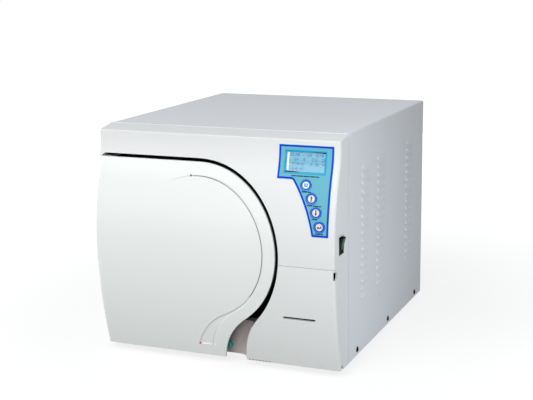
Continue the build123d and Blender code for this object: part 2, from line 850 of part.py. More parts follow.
def control_board():
    back = board_front + board_thickness
    x = (overlay_left + 8.5, overlay_right + board_margin)
    z = (overlay_bottom + 4, overlay_top - 5.5)
    board = block(x, (board_front, back), z)
    for post_x in (x[0] + 6, x[1] - 6):
        for post_z in (z[0] + 6, z[1] - 6):
            board += rod_y(post_x, post_z, 3, back - 0.1, frame_front)
    for right, up, half in ((16, 32, 11), (71, 62, 7), (26, 72, 8)):
        chip_x, chip_z = x[0] + right, z[0] + up
        board += block(
            (chip_x - half, chip_x + half), (back - 0.1, back + 3), (chip_z - half, chip_z + half)
        )
    return board


def key(index):
    """A round key with a rim and a flat stem, on the bulged front's own slope."""
    cap = Pos(0, 0, key_proud - key_length / 2) * Cylinder(key_radius, key_length)
    cap = chamfer(cap.edges().group_by(Axis.Z)[-1], 0.6)
    dish = Pos(0, 0, key_proud + 0.1) * Cylinder(key_radius - 2.2, 0.8)
    return key_place(3 - index) * (cap - dish)


def switch_housing():
    y = (rocker_y - rocker_half_depth, rocker_y + rocker_half_depth)
    z = (rocker_z - rocker_half_height, rocker_z + rocker_half_height)
    back = half_width - switch_depth
    body = block((back, half_width - 0.8), y, z)
    body -= block((back + 8, half_width), (y[0] + 2.4, y[1] - 2.4), (z[0] + 1.1, z[1] - 1.1))
    body -= rod_y(rocker_pivot_x, rocker_z, 2 + running_gap, y[0] + 0.8, y[1] - 0.8)
    for step in (-8, 0, 8):
        blade_z = (rocker_z + step - 0.5, rocker_z + step + 0.5)
        body += block((back - 8, back + 0.1), (rocker_y - 3, rocker_y + 3), blade_z)
    return body


def power_rocker():
    """The rocker, resting with its top end out, on two stub pins."""
    half = rocker_half_height - 3.5
    points = [(-5, -half + 2), (7, -half), (5, 0), (7, half), (-5, half - 2)]
    shape = Plane.XZ * make_face(Polyline(*points, close=True))
    width = rocker_half_depth - 2.4 - 0.4
    body = Pos(0, width, 0) * extrude(shape, 2 * width)
    body += rod_y(0, 0, 2, -width - 1.4, width + 1.4)
    return Pos(rocker_pivot_x, rocker_y, rocker_z) * Rot(0, rocker_tilt, 0) * body


# ---------------------------------------------------------------- door
def groove_outline():
    """The decorative groove: a crescent that opens into a closed S-shaped foot."""
    centre = (chamber_x, chamber_z)
    start = on_circle(centre, groove_radius, groove_start_angle)
    inner = CenterArc(centre, groove_radius, groove_start_angle, -groove_start_angle - 66)
    inner_foot = JernArc(inner @ 1, inner % 1, 112, 48)
    side = (chamber_x + groove_radius + 4.5, chamber_z)
    low = on_circle((chamber_x + 2, chamber_z), groove_radius + 2.5, -58)
    outer = ThreePointArc(start, side, low)
    outer_foot = JernArc(outer @ 1, outer % 1, 104, 50)
    ends = Line(inner_foot @ 1, outer_foot @ 1)
    return make_face(Curve() + [inner, inner_foot, ends, outer_foot, outer])


def groove_rim(skin):
    """The edges where the door's face drops into the groove, on its inner side."""
    rim = []
    for edge in skin.edges():
        middle = edge @ 0.5
        radius = math.hypot(middle.X - chamber_x, middle.Z - chamber_z)
        if abs(middle.Y - front_y(middle.Z)) < 0.05 and abs(radius - groove_radius) < 0.05:
            rim.append(edge)
    return rim


def door_cover():
    """The bulged D-shaped door skin: shallow rim, full-depth hinge side, open back."""
    across = (-half_width, half_width)
    skin = front_block(0, across) & slab(door_outline(), -far, cover_back)
    skin = fillet(upright_edges(skin, door_left), left_round)
    inner = front_block(panel_wall, across, panel_wall) & slab(door_outline(panel_wall), -far, 5)
    inner = fillet(upright_edges(inner, door_left + panel_wall), left_round - panel_wall)
    skin -= inner
    skin -= front_block(rim_depth, (door_left + side_wall_reach, half_width))
    pocket = front_block(-9, across, -1) & behind(groove_outline())
    skin -= pocket - front_block(groove_depth, across)
    skin = chamfer(groove_rim(skin), groove_bevel)
    for z in (lower_bracket_z, upper_bracket_z):
        slot = (z - 1.5, z + bracket_thickness + 1.5)
        skin -= block((-half_width, hinge_x - barrel_radius), (hinge_y - 15, 0), slot)
    return skin


def door_liner():
    """The tub behind the door skin, open on the hinge side, round the pressure plate."""
    across = (-half_width, half_width)
    tub = front_block(panel_wall, across) & slab(liner_outline(), -far, liner_back)
    inside = liner_outline(liner_wall)
    radius = liner_radius - liner_wall
    inside += rectangle((-far, chamber_x), (chamber_z - radius, chamber_z + radius))
    tub -= slab(inside, -far, liner_back - liner_wall)
    tub -= rod_y(chamber_x, chamber_z, plate_radius + fit_gap, -20, 0)
    side = chamber_x + liner_radius
    return tub - keeper_hole((side - 10, side + 5))


def door_plate():
    plate = rod_y(chamber_x, chamber_z, plate_radius, plate_back - plate_thickness, plate_back)
    plate = chamfer(plate.edges().group_by(Axis.Y)[-1], 1)
    seat = ring_y(
        chamber_x, chamber_z, gasket_outer + 0.2, gasket_inner - 0.2, plate_back - gasket_groove, 0
    )
    return plate - seat


def door_gasket():
    low, high = plate_back - gasket_groove, chamber_front - seal_gap
    gasket = ring_y(chamber_x, chamber_z, gasket_outer, gasket_inner, low, high)
    return chamfer(gasket.edges().group_by(Axis.Y)[-1], 1.2)


def door_arm():
    """The welded bridge that hangs the pressure plate on its two hinge barrels."""
    back = plate_back - plate_thickness
    depth = (back - arm_thickness, back)
    low, high = lower_barrel[0] + 4, upper_barrel[1] - 4
    arm = block((chamber_x - 40, chamber_x + 40), depth, (low, high))
    for z in ((low, low + 22), (high - 22, high)):
        arm += block((hinge_x, chamber_x + 70), depth, z)
    for z in (lower_barrel, upper_barrel):
        arm += rod_z(hinge_x, hinge_y, barrel_radius, *z)
    for z in (lower_barrel, upper_barrel):
        arm -= rod_z(hinge_x, hinge_y, pin_radius + running_gap, z[0] - 1, z[1] + 1)
    return arm


def keeper_hole(x):
    """The square window that the lock bolt enters."""
    half = keeper_window
    return block(x, (bolt_y - half, bolt_y + half), (bolt_z - half, bolt_z + half))


def lock_keeper():
    """A box-shaped catch inside the tub's wall, open on the bolt's side."""
    half = keeper_window + keeper_wall
    inner = liner_radius - liner_wall - running_gap
    x = (chamber_x + inner - 22, far)
    body = block(x, (bolt_y - half, bolt_y + half), (bolt_z - half, bolt_z + half))
    body &= rod_y(chamber_x, chamber_z, inner, -100, 0)
    return body - keeper_hole((chamber_x, far))


def hinge_bracket(z):
    width = (hinge_x - 9, hinge_x + 9)
    height = (z, z + bracket_thickness)
    plate = rod_z(hinge_x, hinge_y, 9, *height) + block(width, (hinge_y, frame_front), height)
    foot = block((hinge_x - 9, hinge_x + 22), (frame_front - 2, frame_front), (z - 10, z + 16))
    return plate + foot - rod_z(hinge_x, hinge_y, pin_radius, z - 1, z + bracket_thickness + 1)


def hinge_pins():
    low = rod_z(hinge_x, hinge_y, pin_radius, lower_bracket_z, lower_barrel[1])
    low += rod_z(hinge_x, hinge_y, pin_radius + 2, lower_bracket_z - 2.5, lower_bracket_z)
    high = rod_z(hinge_x, hinge_y, pin_radius, upper_barrel[0], upper_bracket_z + bracket_thickness)
    cap = upper_bracket_z + bracket_thickness
    return [low, high + rod_z(hinge_x, hinge_y, pin_radius + 2, cap, cap + 2.5)]


def lock_bolt():
    bolt = rod_x(bolt_y, bolt_z, bolt_radius, bolt_tip, bolt_tip + bolt_length)
    return chamfer(bolt.edges().group_by(Axis.X)[0], 1)


def lock_solenoid():
    x = (bolt_tip + 6, bolt_tip + 54)
    body = block(x, (bolt_y - 14, bolt_y + 14), (bolt_z - 12, bolt_z + 14))
    body += block((x[0] + 5, x[1] - 5), (bolt_y, frame_front), (bolt_z - 9, bolt_z + 9))
    return body - rod_x(bolt_y, bolt_z, bolt_radius + running_gap, x[0] - 1, x[1] - 6)


# ---------------------------------------------------------------- printer bay
def printer_module():
    """The strip printer on its face plate, with the cradle for its paper roll."""
    plate = block(
        (bay_left - 3.5, bay_right + 4), (frame_front - 2, frame_front),
        (bay_bottom - 4, bay_top + 4),
    )
    half = roll_width / 2 + 2.5
    across = (slot_middle - half, slot_middle + half)
    low, high = paper_slot_z - paper_slot_height / 2, paper_slot_z + paper_slot_height / 2
    body = block(across, (-56, 24), (low - 26, high + 28))
    body -= block(paper_slot_x, (-57, -44), (low - 1, high + 1))
    cradle = rod_x(roll_y, roll_z, roll_radius + 2.3, *across)
    cradle = cradle & block(across, (-far, far), (0, roll_z))
    foot = block(across, (roll_y - 12, roll_y + 12), (high + 27, roll_z - roll_radius))
    cradle = cradle + foot + block(across, (roll_y, frame_front), (roll_z - 12, roll_z - 8))
    hollow = rod_x(roll_y, roll_z, roll_radius + fit_gap, across[0] + 2, across[1] - 2)
    return plate + body + (cradle - hollow)


def paper_roll():
    roll = rod_x(roll_y, roll_z, roll_radius, slot_middle - roll_width / 2, slot_middle + roll_width / 2)
    return roll - rod_x(roll_y, roll_z, 6, 0, half_width)


# ---------------------------------------------------------------- pressure vessel
def revolved(points, dome):
    """A solid of revolution about the chamber's axis; dome is its rounded far end."""
    edges = [Polyline(*points), dome]
    face = make_face(Curve() + edges)
    return Pos(chamber_x, 0, chamber_z) * revolve(face, Axis.Y)


def vessel(radius, start, shoulder, rise):
    """A round-ended cylinder along Y."""
    cap_radius = (radius**2 + rise**2) / (2 * rise)
    half_angle = math.asin(radius / cap_radius) / 2
    bend = (cap_radius * math.sin(half_angle),
            shoulder + rise - cap_radius * (1 - math.cos(half_angle)))
    dome = ThreePointArc((radius, shoulder), bend, (0, shoulder + rise))
    return revolved([(0, shoulder + rise), (0, start), (radius, start), (radius, shoulder)], dome)


def chamber_shell():
    outer = vessel(chamber_bore + chamber_wall, chamber_front, shoulder, dome_height)
    return outer - vessel(chamber_bore, chamber_front - 5, shoulder, dome_height - chamber_wall)


def chamber_flange():
    high = chamber_front + mouth_flange_thickness
    flange = ring_y(
        chamber_x, chamber_z, mouth_flange_radius, chamber_bore + chamber_wall, chamber_front, high
    )
    return chamfer(flange.edges().group_by(Axis.Y)[0].sort_by(SortBy.RADIUS)[-1], 1.5)


def heater_bands():
    inner = chamber_bore + chamber_wall
    band = ring_y(0, 0, inner + band_heater_wall, inner, 0, band_heater_length)
    band += block((-14, 14), (30, 60), (inner + 0.5, inner + 5)) - rod_y(0, 0, inner, -1, 99)
    return [Pos(chamber_x, y, chamber_z) * band for y in (50.0, 200.0)]


def insulation_jacket():
    front = chamber_front + mouth_flange_thickness + 2
    low, high = chamber_bore + chamber_wall + band_heater_wall, insulation_radius
    jacket = ring_y(chamber_x, chamber_z, high, low, front, vessel_back)
    jacket += rod_y(chamber_x, chamber_z, high, vessel_back - end_insulation, vessel_back)
    pocket = block((-16, 16), (front, 262), (low - 2, low + 5.5))
    return jacket - Pos(chamber_x, 0, chamber_z) * pocket


def chamber_cradle():
    """The saddle plate that carries the vessel's rear end."""
    y = (vessel_back - 57, vessel_back - 53)
    plate = block((chamber_x - 120, chamber_x + 120), y, (floor_top, chamber_z - 90))
    foot = block((chamber_x - 120, chamber_x + 120), (y[0] - 22, y[1]), (floor_top, floor_top + 2))
    saddle = insulation_radius + running_gap
    return plate - rod_y(chamber_x, chamber_z, saddle, y[0] - 1, y[1] + 1) + foot


# ---------------------------------------------------------------- trays
def tray_rack():
    """Two folded side plates with ledges, tied by cross bars, resting in the chamber."""
    along = (tray_front - 2, tray_front + tray_length + 4)
    high = tray_levels[-1] + tray_depth + 6
    side = block((rack_side, rack_side + rack_sheet), along, (rack_low, high))
    for level in tray_levels:
        side += block((rack_side - ledge_width, rack_side + 0.1), along, (level - rack_sheet, level))
        for y in (60, 130, 200, 270):
            side -= block((rack_side - 1, rack_side + 5), (y - 18, y + 18), (level + 18, level + 34))
    rack = side + mirror(side, Plane.YZ)
    for y in (along[0] + 4, along[1] - 4):
        rack += rod_x(y, rack_low + 4, 2.5, -rack_side - 0.5, rack_side + 0.5)
    return Pos(chamber_x, 0, chamber_z) * rack


def instrument_tray(level):
    """A shallow pressed pan with a row of drain slots."""
    along = (tray_front, tray_front + tray_length)
    pan = block((-tray_half_width, tray_half_width), along, (level, level + tray_depth))
    pan = fillet(pan.edges().filter_by(Axis.Z), 8)
    inside = tray_half_width - tray_sheet
    hollow = block(
        (-inside, inside), (along[0] + tray_sheet, along[1] - tray_sheet),
        (level + tray_sheet, level + tray_depth + 1),
    )
    pan -= fillet(hollow.edges().filter_by(Axis.Z), 8 - tray_sheet)
    slots = [
        Pos(x, y, level) * Box(6, 40, 4)
        for x in (-60, -20, 20, 60)
        for y in (tray_front + 50, tray_front + tray_length / 2, tray_front + tray_length - 50)
    ]
    return Pos(chamber_x, 0, chamber_z) * (pan - slots)


# ---------------------------------------------------------------- services inside the casing
def rounded_tank(x, y, z, radius):
    tank = block(x, y, z)
    return fillet(tank.edges(), radius)


def clean_tank():
    top = shelf_top + clean_tank_height
    tank = rounded_tank((50 - half_width, half_width - 122), (30, 360), (shelf_top, top), 6)
    return tank + rod_z(90 - half_width, 330, 12, top - 1, top + tank_headroom - 2)


def waste_tank():
    across, top = (60 - half_width, half_width - 130), floor_top + waste_tank_height
    tank = rounded_tank(across, (30, 300), (floor_top, top), 6)
    return tank + rod_y(across[1] - 20, floor_top + 14, 5, 299, 312)


def vacuum_pump():
    """A twin-head diaphragm pump: motor in the middle, heads on both ends, on rails."""
    axis_z = 66.0
    pump = rod_y(pump_x, axis_z, 34, 60, 150)
    for y in (44, 150):
        pump += block((pump_x - 38, pump_x + 38), (y, y + 22), (axis_z - 34, axis_z + 46))
        pump += block((pump_x - 24, pump_x + 24), (y + 1, y + 21), (axis_z + 45, axis_z + 58))
    for x in (pump_x - 30, pump_x + 30):
        pump += block((x - 6, x + 6), (44, 172), (floor_top, axis_z - 20))
    return pump


def water_pump():
    pump = rod_y(pump_x - 12, 38, 22, 190, 262)
    pump += block((pump_x - 30, pump_x + 6), (195, 250), (floor_top, 24))
    return pump + rod_z(pump_x - 12, 206, 6, 55, 72)


def steam_generator():
    """A small upright boiler: a flanged pot with a steam outlet in its domed top."""
    body = rod_z(pump_x, generator_y, generator_radius, floor_top, generator_top)
    body = chamfer(body.edges().group_by(Axis.Z)[-1], 8)
    body += rod_z(pump_x, generator_y, generator_radius + 7, floor_top, floor_top + 4)
    bolt = rod_z(generator_radius + 3.5, 0, 2.5, floor_top + 4, floor_top + 7)
    for angle in range(0, 360, 60):
        body += Pos(pump_x, generator_y, 0) * Rot(0, 0, angle) * bolt
    return body + rod_z(pump_x, generator_y, 7, generator_top - 1, generator_top + 16)


def valve_manifold():
    y = (rear_plate_front - 26, rear_plate_front)
    left = 25 - half_width
    block_body = block((left, left + 120), y, (100, 124))
    for x in (left + 17, left + 60, left + 103):
        block_body += block((x - 13, x + 13), (y[0] - 4, y[1] - 6), (123.9, 156))
        block_body += rod_z(x, y[0] + 9, 6, 155.9, 164)
    return block_body


def fan_frame():
    y = (rear_plate_front - fan_depth, rear_plate_front)
    half = fan_size / 2
    frame = block((fan_x - half, fan_x + half), y, (fan_z - half, fan_z + half))
    frame = fillet(frame.edges().filter_by(Axis.Y), 6)
    frame -= rod_y(fan_x, fan_z, half - 3, y[0] - 1, y[1] + 1)
    hub = rod_y(fan_x, fan_z, 20, y[1] - 6, y[1])
    for angle in (45, 135, 225, 315):
        strut = Rot(0, angle, 0) * block((18, half - 2), (y[1] - 5, y[1] - 1), (-3, 3))
        frame += Pos(fan_x, 0, fan_z) * strut
    return frame + hub + rod_y(fan_x, fan_z, 4, y[1] - 28, y[1] - 5)


def fan_rotor():
    """Seven pitched blades on a hub that turns on the frame's stub shaft."""
    back = rear_plate_front - 6 - fit_gap
    hub = rod_y(0, 0, 19, back - 26, back)
    for i in range(7):
        blade = Pos(34, back - 13, 0) * Rot(38, 0, 0) * Box(36, 22, 1.8)
        hub += Rot(0, i * 360 / 7, 0) * blade
    hub &= rod_y(0, 0, fan_size / 2 - 4.5, back - 40, back + 5)
    return Pos(fan_x, 0, fan_z) * (hub - rod_y(0, 0, 4 + running_gap, back - 23, back + 1))


def condenser():
    """A finned coil block between two end plates that stand on the fan's frame."""
    back = rear_plate_front - fan_depth
    half = fan_size / 2
    x, z = (fan_x - half, fan_x + half), (fan_z - half, fan_z + half)
    core = block((x[0] + 2, x[1] - 2), (back - 34, back - 2), z)
    pitch = (fan_size - 3) / condenser_fins
    for i in range(condenser_fins):
        low = z[0] + 3 + i * pitch
        core -= block((x[0] + 4, x[1] - 4), (back - 40, back - 14), (low, low + pitch - 3))
    for end in (x[0], x[1] - 3):
        core += block((end, end + 3), (back - 36, back), (z[0] - 4, z[1] + 4))
    return core


def air_filter():
    low = rear_plate_front - 70
    x, z = half_width - 55, 300
    body = rod_y(x, z, 24, low, rear_plate_front)
    body = chamfer(body.edges().group_by(Axis.Y)[0], 4)
    return body + rod_y(x, z, 5, low - 12, low + 0.1)


def power_supply():
    x = (half_width - 110, half_width - 12)
    box = block(x, (330, 460), (shelf_top, shelf_top + 40))
    high = (shelf_top + 38, shelf_top + 41)
    slots = [block((x[0] + 10, x[1] - 10), (y, y + 4), high) for y in range(345, 446, 12)]
    return box - slots


def main_board():
    """The control computer on four posts, with its larger components."""
    low = shelf_top + 8
    left, right = half_width - 114, half_width - 10
    board = block((left, right), (40, 300), (low, low + 1.6))
    for x in (left + 6, right - 6):
        for y in (46, 294):
            board += rod_z(x, y, 3, shelf_top, low + 0.1)
    for x, y, half, height in ((24, 80, 12, 16), (24, 120, 12, 16), (69, 90, 16, 5), (74, 240, 20, 24)):
        across = (left + x - half, left + x + half)
        board += block(across, (y - half, y + half), (low + 1.5, low + height))
    return board


# ---------------------------------------------------------------- rear fittings
def power_inlet():
    """The appliance inlet: a flanged socket with three blades in its well."""
    back = rear_plate_back
    body = block((inlet_x - 14, inlet_x + 14), (back - 24, back), (inlet_z - 10, inlet_z + 10))
    body += block((inlet_x - 24, inlet_x + 24), (back, back + 2.5), (inlet_z - 14, inlet_z + 14))
    body -= block((inlet_x - 12, inlet_x + 12), (back - 15, back + 5), (inlet_z - 8, inlet_z + 8))
    for x, z in ((-7, 0.5), (0, 4.5), (7, 0.5)):
        body += block(
            (inlet_x + x - 1, inlet_x + x + 1), (back - 15.1, back - 1), (inlet_z + z - 2, inlet_z + z + 2)
        )
    return body


def fuse_holders():
    back = rear_plate_back
    holder = rod_y(0, inlet_z, 6, back - 24, back) + rod_y(0, inlet_z, 9, back, back + 5)
    holder += rod_y(0, inlet_z, 7, back + 4.9, back + 10)
    holder -= block((-1, 1), (back + 8.5, back + 11), (inlet_z - 6, inlet_z + 6))
    return [Pos(x, 0, 0) * holder for x in fuse_x]


def safety_valve():
    """The spring-loaded relief valve with its hexagonal body and test ring's eye."""
    back = rear_plate_back
    valve = rod_y(valve_x, valve_z, 7, back - 34, back)
    hexagon = Pos(valve_x, valve_z) * RegularPolygon(10, 6)
    valve += slab(hexagon, back, back + 6)
    valve += rod_y(valve_x, valve_z, 6.5, back + 5.9, back + 12)
    return valve - rod_x(back + 9.5, valve_z, 1.6, valve_x - 9, valve_x + 9)


def overflow_spout():
    back = rear_plate_back
    spout = rod_y(overflow_x, overflow_z, 6, back - 16, back)
    spout += rod_y(overflow_x, overflow_z, 9, back, back + 3)
    spout += rod_y(overflow_x, overflow_z, 4.5, back + 2.9, back + 14)
    return spout - rod_y(overflow_x, overflow_z, 3, back - 4, back + 15)


# ---------------------------------------------------------------- the whole machine
def all_parts():
    parts = {
        "outer_cover": outer_cover(),
        "base_tray": base_tray(),
        "front_frame": front_frame(),
        "rear_panel": rear_panel(),
        "upper_shelf": upper_shelf(),
        "feet": feet(),
        "foot_screws": foot_screws(),
        "cover_screws": cover_screws(),
        "rear_screws": rear_screws(),
        "front_bezel": front_bezel(),
        "service_recess": service_recess(),
        "drain_valve": drain_valve(),
        "drain_knob": drain_knob(),
        "service_flap": service_flap(),
        "flap_rod": flap_rod(),
        "printer_module": printer_module(),
        "paper_roll": paper_roll(),
        "control_overlay": control_overlay(),
        "display_window": display_window(),
        "display_module": display_module(),
        "control_board": control_board(),
        "switch_housing": switch_housing(),
        "power_rocker": power_rocker(),
        "door_cover": door_cover(),
        "door_liner": door_liner(),
        "door_plate": door_plate(),
        "door_gasket": door_gasket(),
        "door_arm": door_arm(),
        "lock_keeper": lock_keeper(),
        "hinge_brackets": [hinge_bracket(z) for z in (lower_bracket_z, upper_bracket_z)],
        "hinge_pins": hinge_pins(),
        "lock_bolt": lock_bolt(),
        "lock_solenoid": lock_solenoid(),
        "chamber_shell": chamber_shell(),
        "chamber_flange": chamber_flange(),
        "heater_bands": heater_bands(),
        "insulation_jacket": insulation_jacket(),
        "chamber_cradle": chamber_cradle(),
        "tray_rack": tray_rack(),
        "instrument_trays": [instrument_tray(level) for level in tray_levels],
        "clean_tank": clean_tank(),
        "waste_tank": waste_tank(),
        "vacuum_pump": vacuum_pump(),
        "water_pump": water_pump(),
        "steam_generator": steam_generator(),
        "valve_manifold": valve_manifold(),
        "fan_frame": fan_frame(),
        "fan_rotor": fan_rotor(),
        "condenser": condenser(),
        "air_filter": air_filter(),
        "power_supply": power_supply(),
        "main_board": main_board(),
        "power_inlet": power_inlet(),
        "fuse_holders": fuse_holders(),
        "safety_valve": safety_valve(),
        "overflow_spout": overflow_spout(),
    }
    for index, name in enumerate(key_names):
        parts["key_" + name] = key(index)
    return parts


def write_parts():
    """Moves every piece so that the origin is under the machine's middle, on the bench."""
    os.makedirs("parts", exist_ok=True)
    parts = {
        name: Compound(made) if isinstance(made, list) else made
        for name, made in all_parts().items()
    }
    boxes = [piece.bounding_box() for piece in parts.values()]
    middle_y = (min(b.min.Y for b in boxes) + max(b.max.Y for b in boxes)) / 2
    for name, piece in parts.items():
        export_step(Pos(0, -middle_y, foot_height) * piece, os.path.join("parts", name + ".step"))
    print("nodes", len(parts), "y shift", -middle_y)


write_parts()
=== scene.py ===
import itertools
import json
import math

import bmesh
import bpy
from mathutils import Matrix, Vector
from mathutils.bvhtree import BVHTree


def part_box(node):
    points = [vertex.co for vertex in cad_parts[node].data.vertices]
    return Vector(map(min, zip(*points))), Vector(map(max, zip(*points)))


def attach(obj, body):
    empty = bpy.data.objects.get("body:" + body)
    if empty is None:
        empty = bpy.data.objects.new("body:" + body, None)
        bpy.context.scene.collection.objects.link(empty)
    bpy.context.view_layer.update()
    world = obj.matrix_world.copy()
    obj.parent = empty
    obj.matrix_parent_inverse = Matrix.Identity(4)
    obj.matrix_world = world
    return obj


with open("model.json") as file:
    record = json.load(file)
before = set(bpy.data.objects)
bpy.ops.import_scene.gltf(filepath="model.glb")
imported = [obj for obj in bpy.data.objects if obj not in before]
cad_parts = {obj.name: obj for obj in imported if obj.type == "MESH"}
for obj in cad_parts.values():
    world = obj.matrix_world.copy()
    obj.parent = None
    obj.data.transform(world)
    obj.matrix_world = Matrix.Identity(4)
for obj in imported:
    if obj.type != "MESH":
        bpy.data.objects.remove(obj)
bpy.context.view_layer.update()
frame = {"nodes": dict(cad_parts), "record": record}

# Looks of the benchtop autoclave. Metres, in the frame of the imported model: +X to the right of
# someone facing the door, +Y to the back, +Z up, origin on the bench under the machine's middle.

NODES = frame["nodes"]
MILLI = 0.001

# ---- the view ----
CAMERA_PLACE = (0.86863, -2.11968, 0.74203)
CAMERA_HEADING, CAMERA_PITCH, CAMERA_ROLL = 22.517, -11.912, -0.63
CAMERA_LENS, SENSOR_WIDTH = 77.4, 36.0

# ---- the CAD pieces that the printed details follow ----
film_low, film_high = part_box("control_overlay")
window_low, window_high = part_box("display_window")
door_low, door_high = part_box("door_cover")
plate_low, plate_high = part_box("door_plate")
chamber_x = (plate_low.x + plate_high.x) / 2
chamber_z = (plate_low.z + plate_high.z) / 2

# ---- sizes of the printed details ----
FILM_STEP = window_low.z - 11.6 * MILLI  # height of the step in the film's left side
FILM_ARC = 231 * MILLI  # radius of the film's curved side, round the chamber's axis
FILM_ROUND = 7 * MILLI  # radius of the hollow corner between the step and the curved side
BORDER = 3.7 * MILLI  # how far in from the film's edge its border reaches
GROOVE_RADIUS = 133.5 * MILLI  # inner edge of the door's groove, round the chamber's axis
SLOT = (0.1393, 0.1975, 0.1085, 0.1115)  # left, right, low and high edge of the flap's slot
PRINT = 0.08 * MILLI  # how far a printed shape stands off its surface
PIECE = 3 * MILLI  # long printed lines are cut this short, so that they follow a bend

# ---- light ----
LAMP_TARGET = (0.0, -0.1, 0.22)
COOL = (0.92, 0.95, 1.0)
AMBIENT_COLOUR, AMBIENT_STRENGTH = (0.91, 0.95, 1.0, 1.0), 0.345
WHITE, BLACK, FLOOR_GREY = (1, 1, 1, 1), (0, 0, 0, 1), (0.22, 0.22, 0.22, 1.0)


# ---------------------------------------------------------------- small helpers
def srgb(red, green, blue):
    """A display colour from 0 to 255 as the linear colour that a shader takes."""
    def linear(value):
        value /= 255
        return value / 12.92 if value <= 0.04045 else ((value + 0.055) / 1.055) ** 2.4
    return (linear(red), linear(green), linear(blue), 1.0)


def scaled(colour, factor):
    """A lighter or darker colour, kept within what a shader takes."""
    return (*[min(1.0, part * factor) for part in colour[:3]], 1.0)


def circle_points(centre, radius, first, last, count):
    """Points on an arc in X and Z, from one angle to another in degrees."""
    angles = [math.radians(first + (last - first) * i / (count - 1)) for i in range(count)]
    return [(centre[0] + radius * math.cos(a), centre[1] + radius * math.sin(a)) for a in angles]


def full_circle(centre, radius, count):
    """Points all round a circle in X and Z, the first of them not repeated."""
    return circle_points(centre, radius, 0, 360, count + 1)[:-1]


# ---------------------------------------------------------------- materials
FINE_GRAIN = 0.00001  # depth in metres of a smooth moulding's grain


class Shader:
    """A node material with short calls for adding nodes and joining their sockets."""

    def __init__(self, name):
        self.material = bpy.data.materials.new(name)
        self.material.use_nodes = True
        self.tree = self.material.node_tree
        self.surface = self.tree.nodes["Principled BSDF"]
        self.output = self.tree.nodes["Material Output"]

    def add(self, kind, inputs=None, **settings):
        made = self.tree.nodes.new("ShaderNode" + kind)
        for key, value in settings.items():
            setattr(made, key, value)
        for key, value in (inputs or {}).items():
            self.join(value, made.inputs[key])
        return made

    def join(self, value, socket):
        """Links another socket to this one, or sets a constant on it."""
        if isinstance(value, bpy.types.NodeSocket):
            self.tree.links.new(value, socket)
        else:
            socket.default_value = value

    def set(self, **inputs):
        """Sets or joins inputs of the main surface, with _ for each space in a name."""
        for key, value in inputs.items():
            self.join(value, self.surface.inputs[key.replace("_", " ")])

    def place(self, stretch=(1, 1, 1)):
        """The point on the object, in metres, stretched by a factor along each axis."""
        point = self.add("TexCoord").outputs["Object"]
        if stretch == (1, 1, 1):
            return point
        return self.add("Mapping", {"Vector": point, "Scale": stretch}).outputs["Vector"]

    def noise(self, scale, detail=2.0, stretch=(1, 1, 1)):
        """Soft noise from 0 to 1, with a number of grains per metre."""
        inputs = {"Vector": self.place(stretch), "Scale": scale, "Detail": detail}
        return self.add("TexNoise", inputs).outputs["Fac"]

    def ramp(self, value, low, high):
        """Maps 0..1 to low..high."""
        made = self.add("MapRange", {"Value": value, "To Min": low, "To Max": high})
        return made.outputs["Result"]

    def blend(self, factor, first, second):
        """A colour between two, at a factor from 0 to 1."""
        made = self.add("Mix", data_type="RGBA")
        self.join(factor, made.inputs[0])
        self.join(first, made.inputs[6])
        self.join(second, made.inputs[7])
        return made.outputs[2]

    def compute(self, operation, first, second=0.0):
        """The result of a math node."""
        made = self.add("Math", operation=operation)
        self.join(first, made.inputs[0])
        self.join(second, made.inputs[1])
        return made.outputs[0]

    def bump(self, height, depth, edge=0.0):
        """Bump of a depth in metres, over edges softened by a small radius."""
        inputs = {"Height": height, "Distance": depth, "Strength": 1.0}
        if edge:
            inputs["Normal"] = self.add("Bevel", {"Radius": edge}, samples=4).outputs[0]
        self.set(Normal=self.add("Bump", inputs).outputs["Normal"])


def mottled(shader, colour, amount, scale=7.0):
    """A colour that drifts a little, darker and lighter, over the surface."""
    drift = shader.noise(scale, 3.0)
    return shader.blend(drift, scaled(colour, 1 - amount), scaled(colour, 1 + amount))


def paint(name, colour, roughness, gap_shade_coat=0.0, peel=0.00002, scale=900.0, edge=0.0008,
          specular=0.5):
    """Sprayed or powder-coated surface with a fine orange peel."""
    shader = Shader(name)
    fine = shader.noise(scale, 2.0)
    shader.set(
        Base_Color=mottled(shader, colour, 0.012),
        Roughness=shader.ramp(fine, roughness - 0.03, roughness + 0.03),
        Coat_Weight=gap_shade_coat,
        Coat_Roughness=0.12,
        Specular_IOR_Level=specular,
    )
    shader.bump(fine, peel, edge)
    return shader.material


def moulded(name, colour, roughness, grain=0.00004, scale=1500.0, edge=0.0004, specular=0.5):
    """Moulded plastic or rubber with a spark-eroded grain."""
    shader = Shader(name)
    cells = shader.add("TexVoronoi", {"Vector": shader.place(), "Scale": scale})
    shader.set(
        Base_Color=mottled(shader, colour, 0.03, 20.0),
        Roughness=shader.ramp(shader.noise(scale / 3), roughness - 0.06, roughness + 0.06),
        Specular_IOR_Level=specular,
    )
    shader.bump(cells.outputs["Distance"], grain, edge)
    return shader.material


def metal(name, colour, roughness, stretch, depth=0.000006, edge=0.0003):
    """Brushed or drawn metal whose scratches run along the axis with the least stretch."""
    shader = Shader(name)
    lines = shader.noise(1.0, 4.0, stretch)
    shader.set(
        Base_Color=mottled(shader, colour, 0.04, 12.0),
        Metallic=1.0,
        Roughness=shader.ramp(lines, roughness - 0.08, roughness + 0.1),
    )
    shader.bump(lines, depth, edge)
    return shader.material


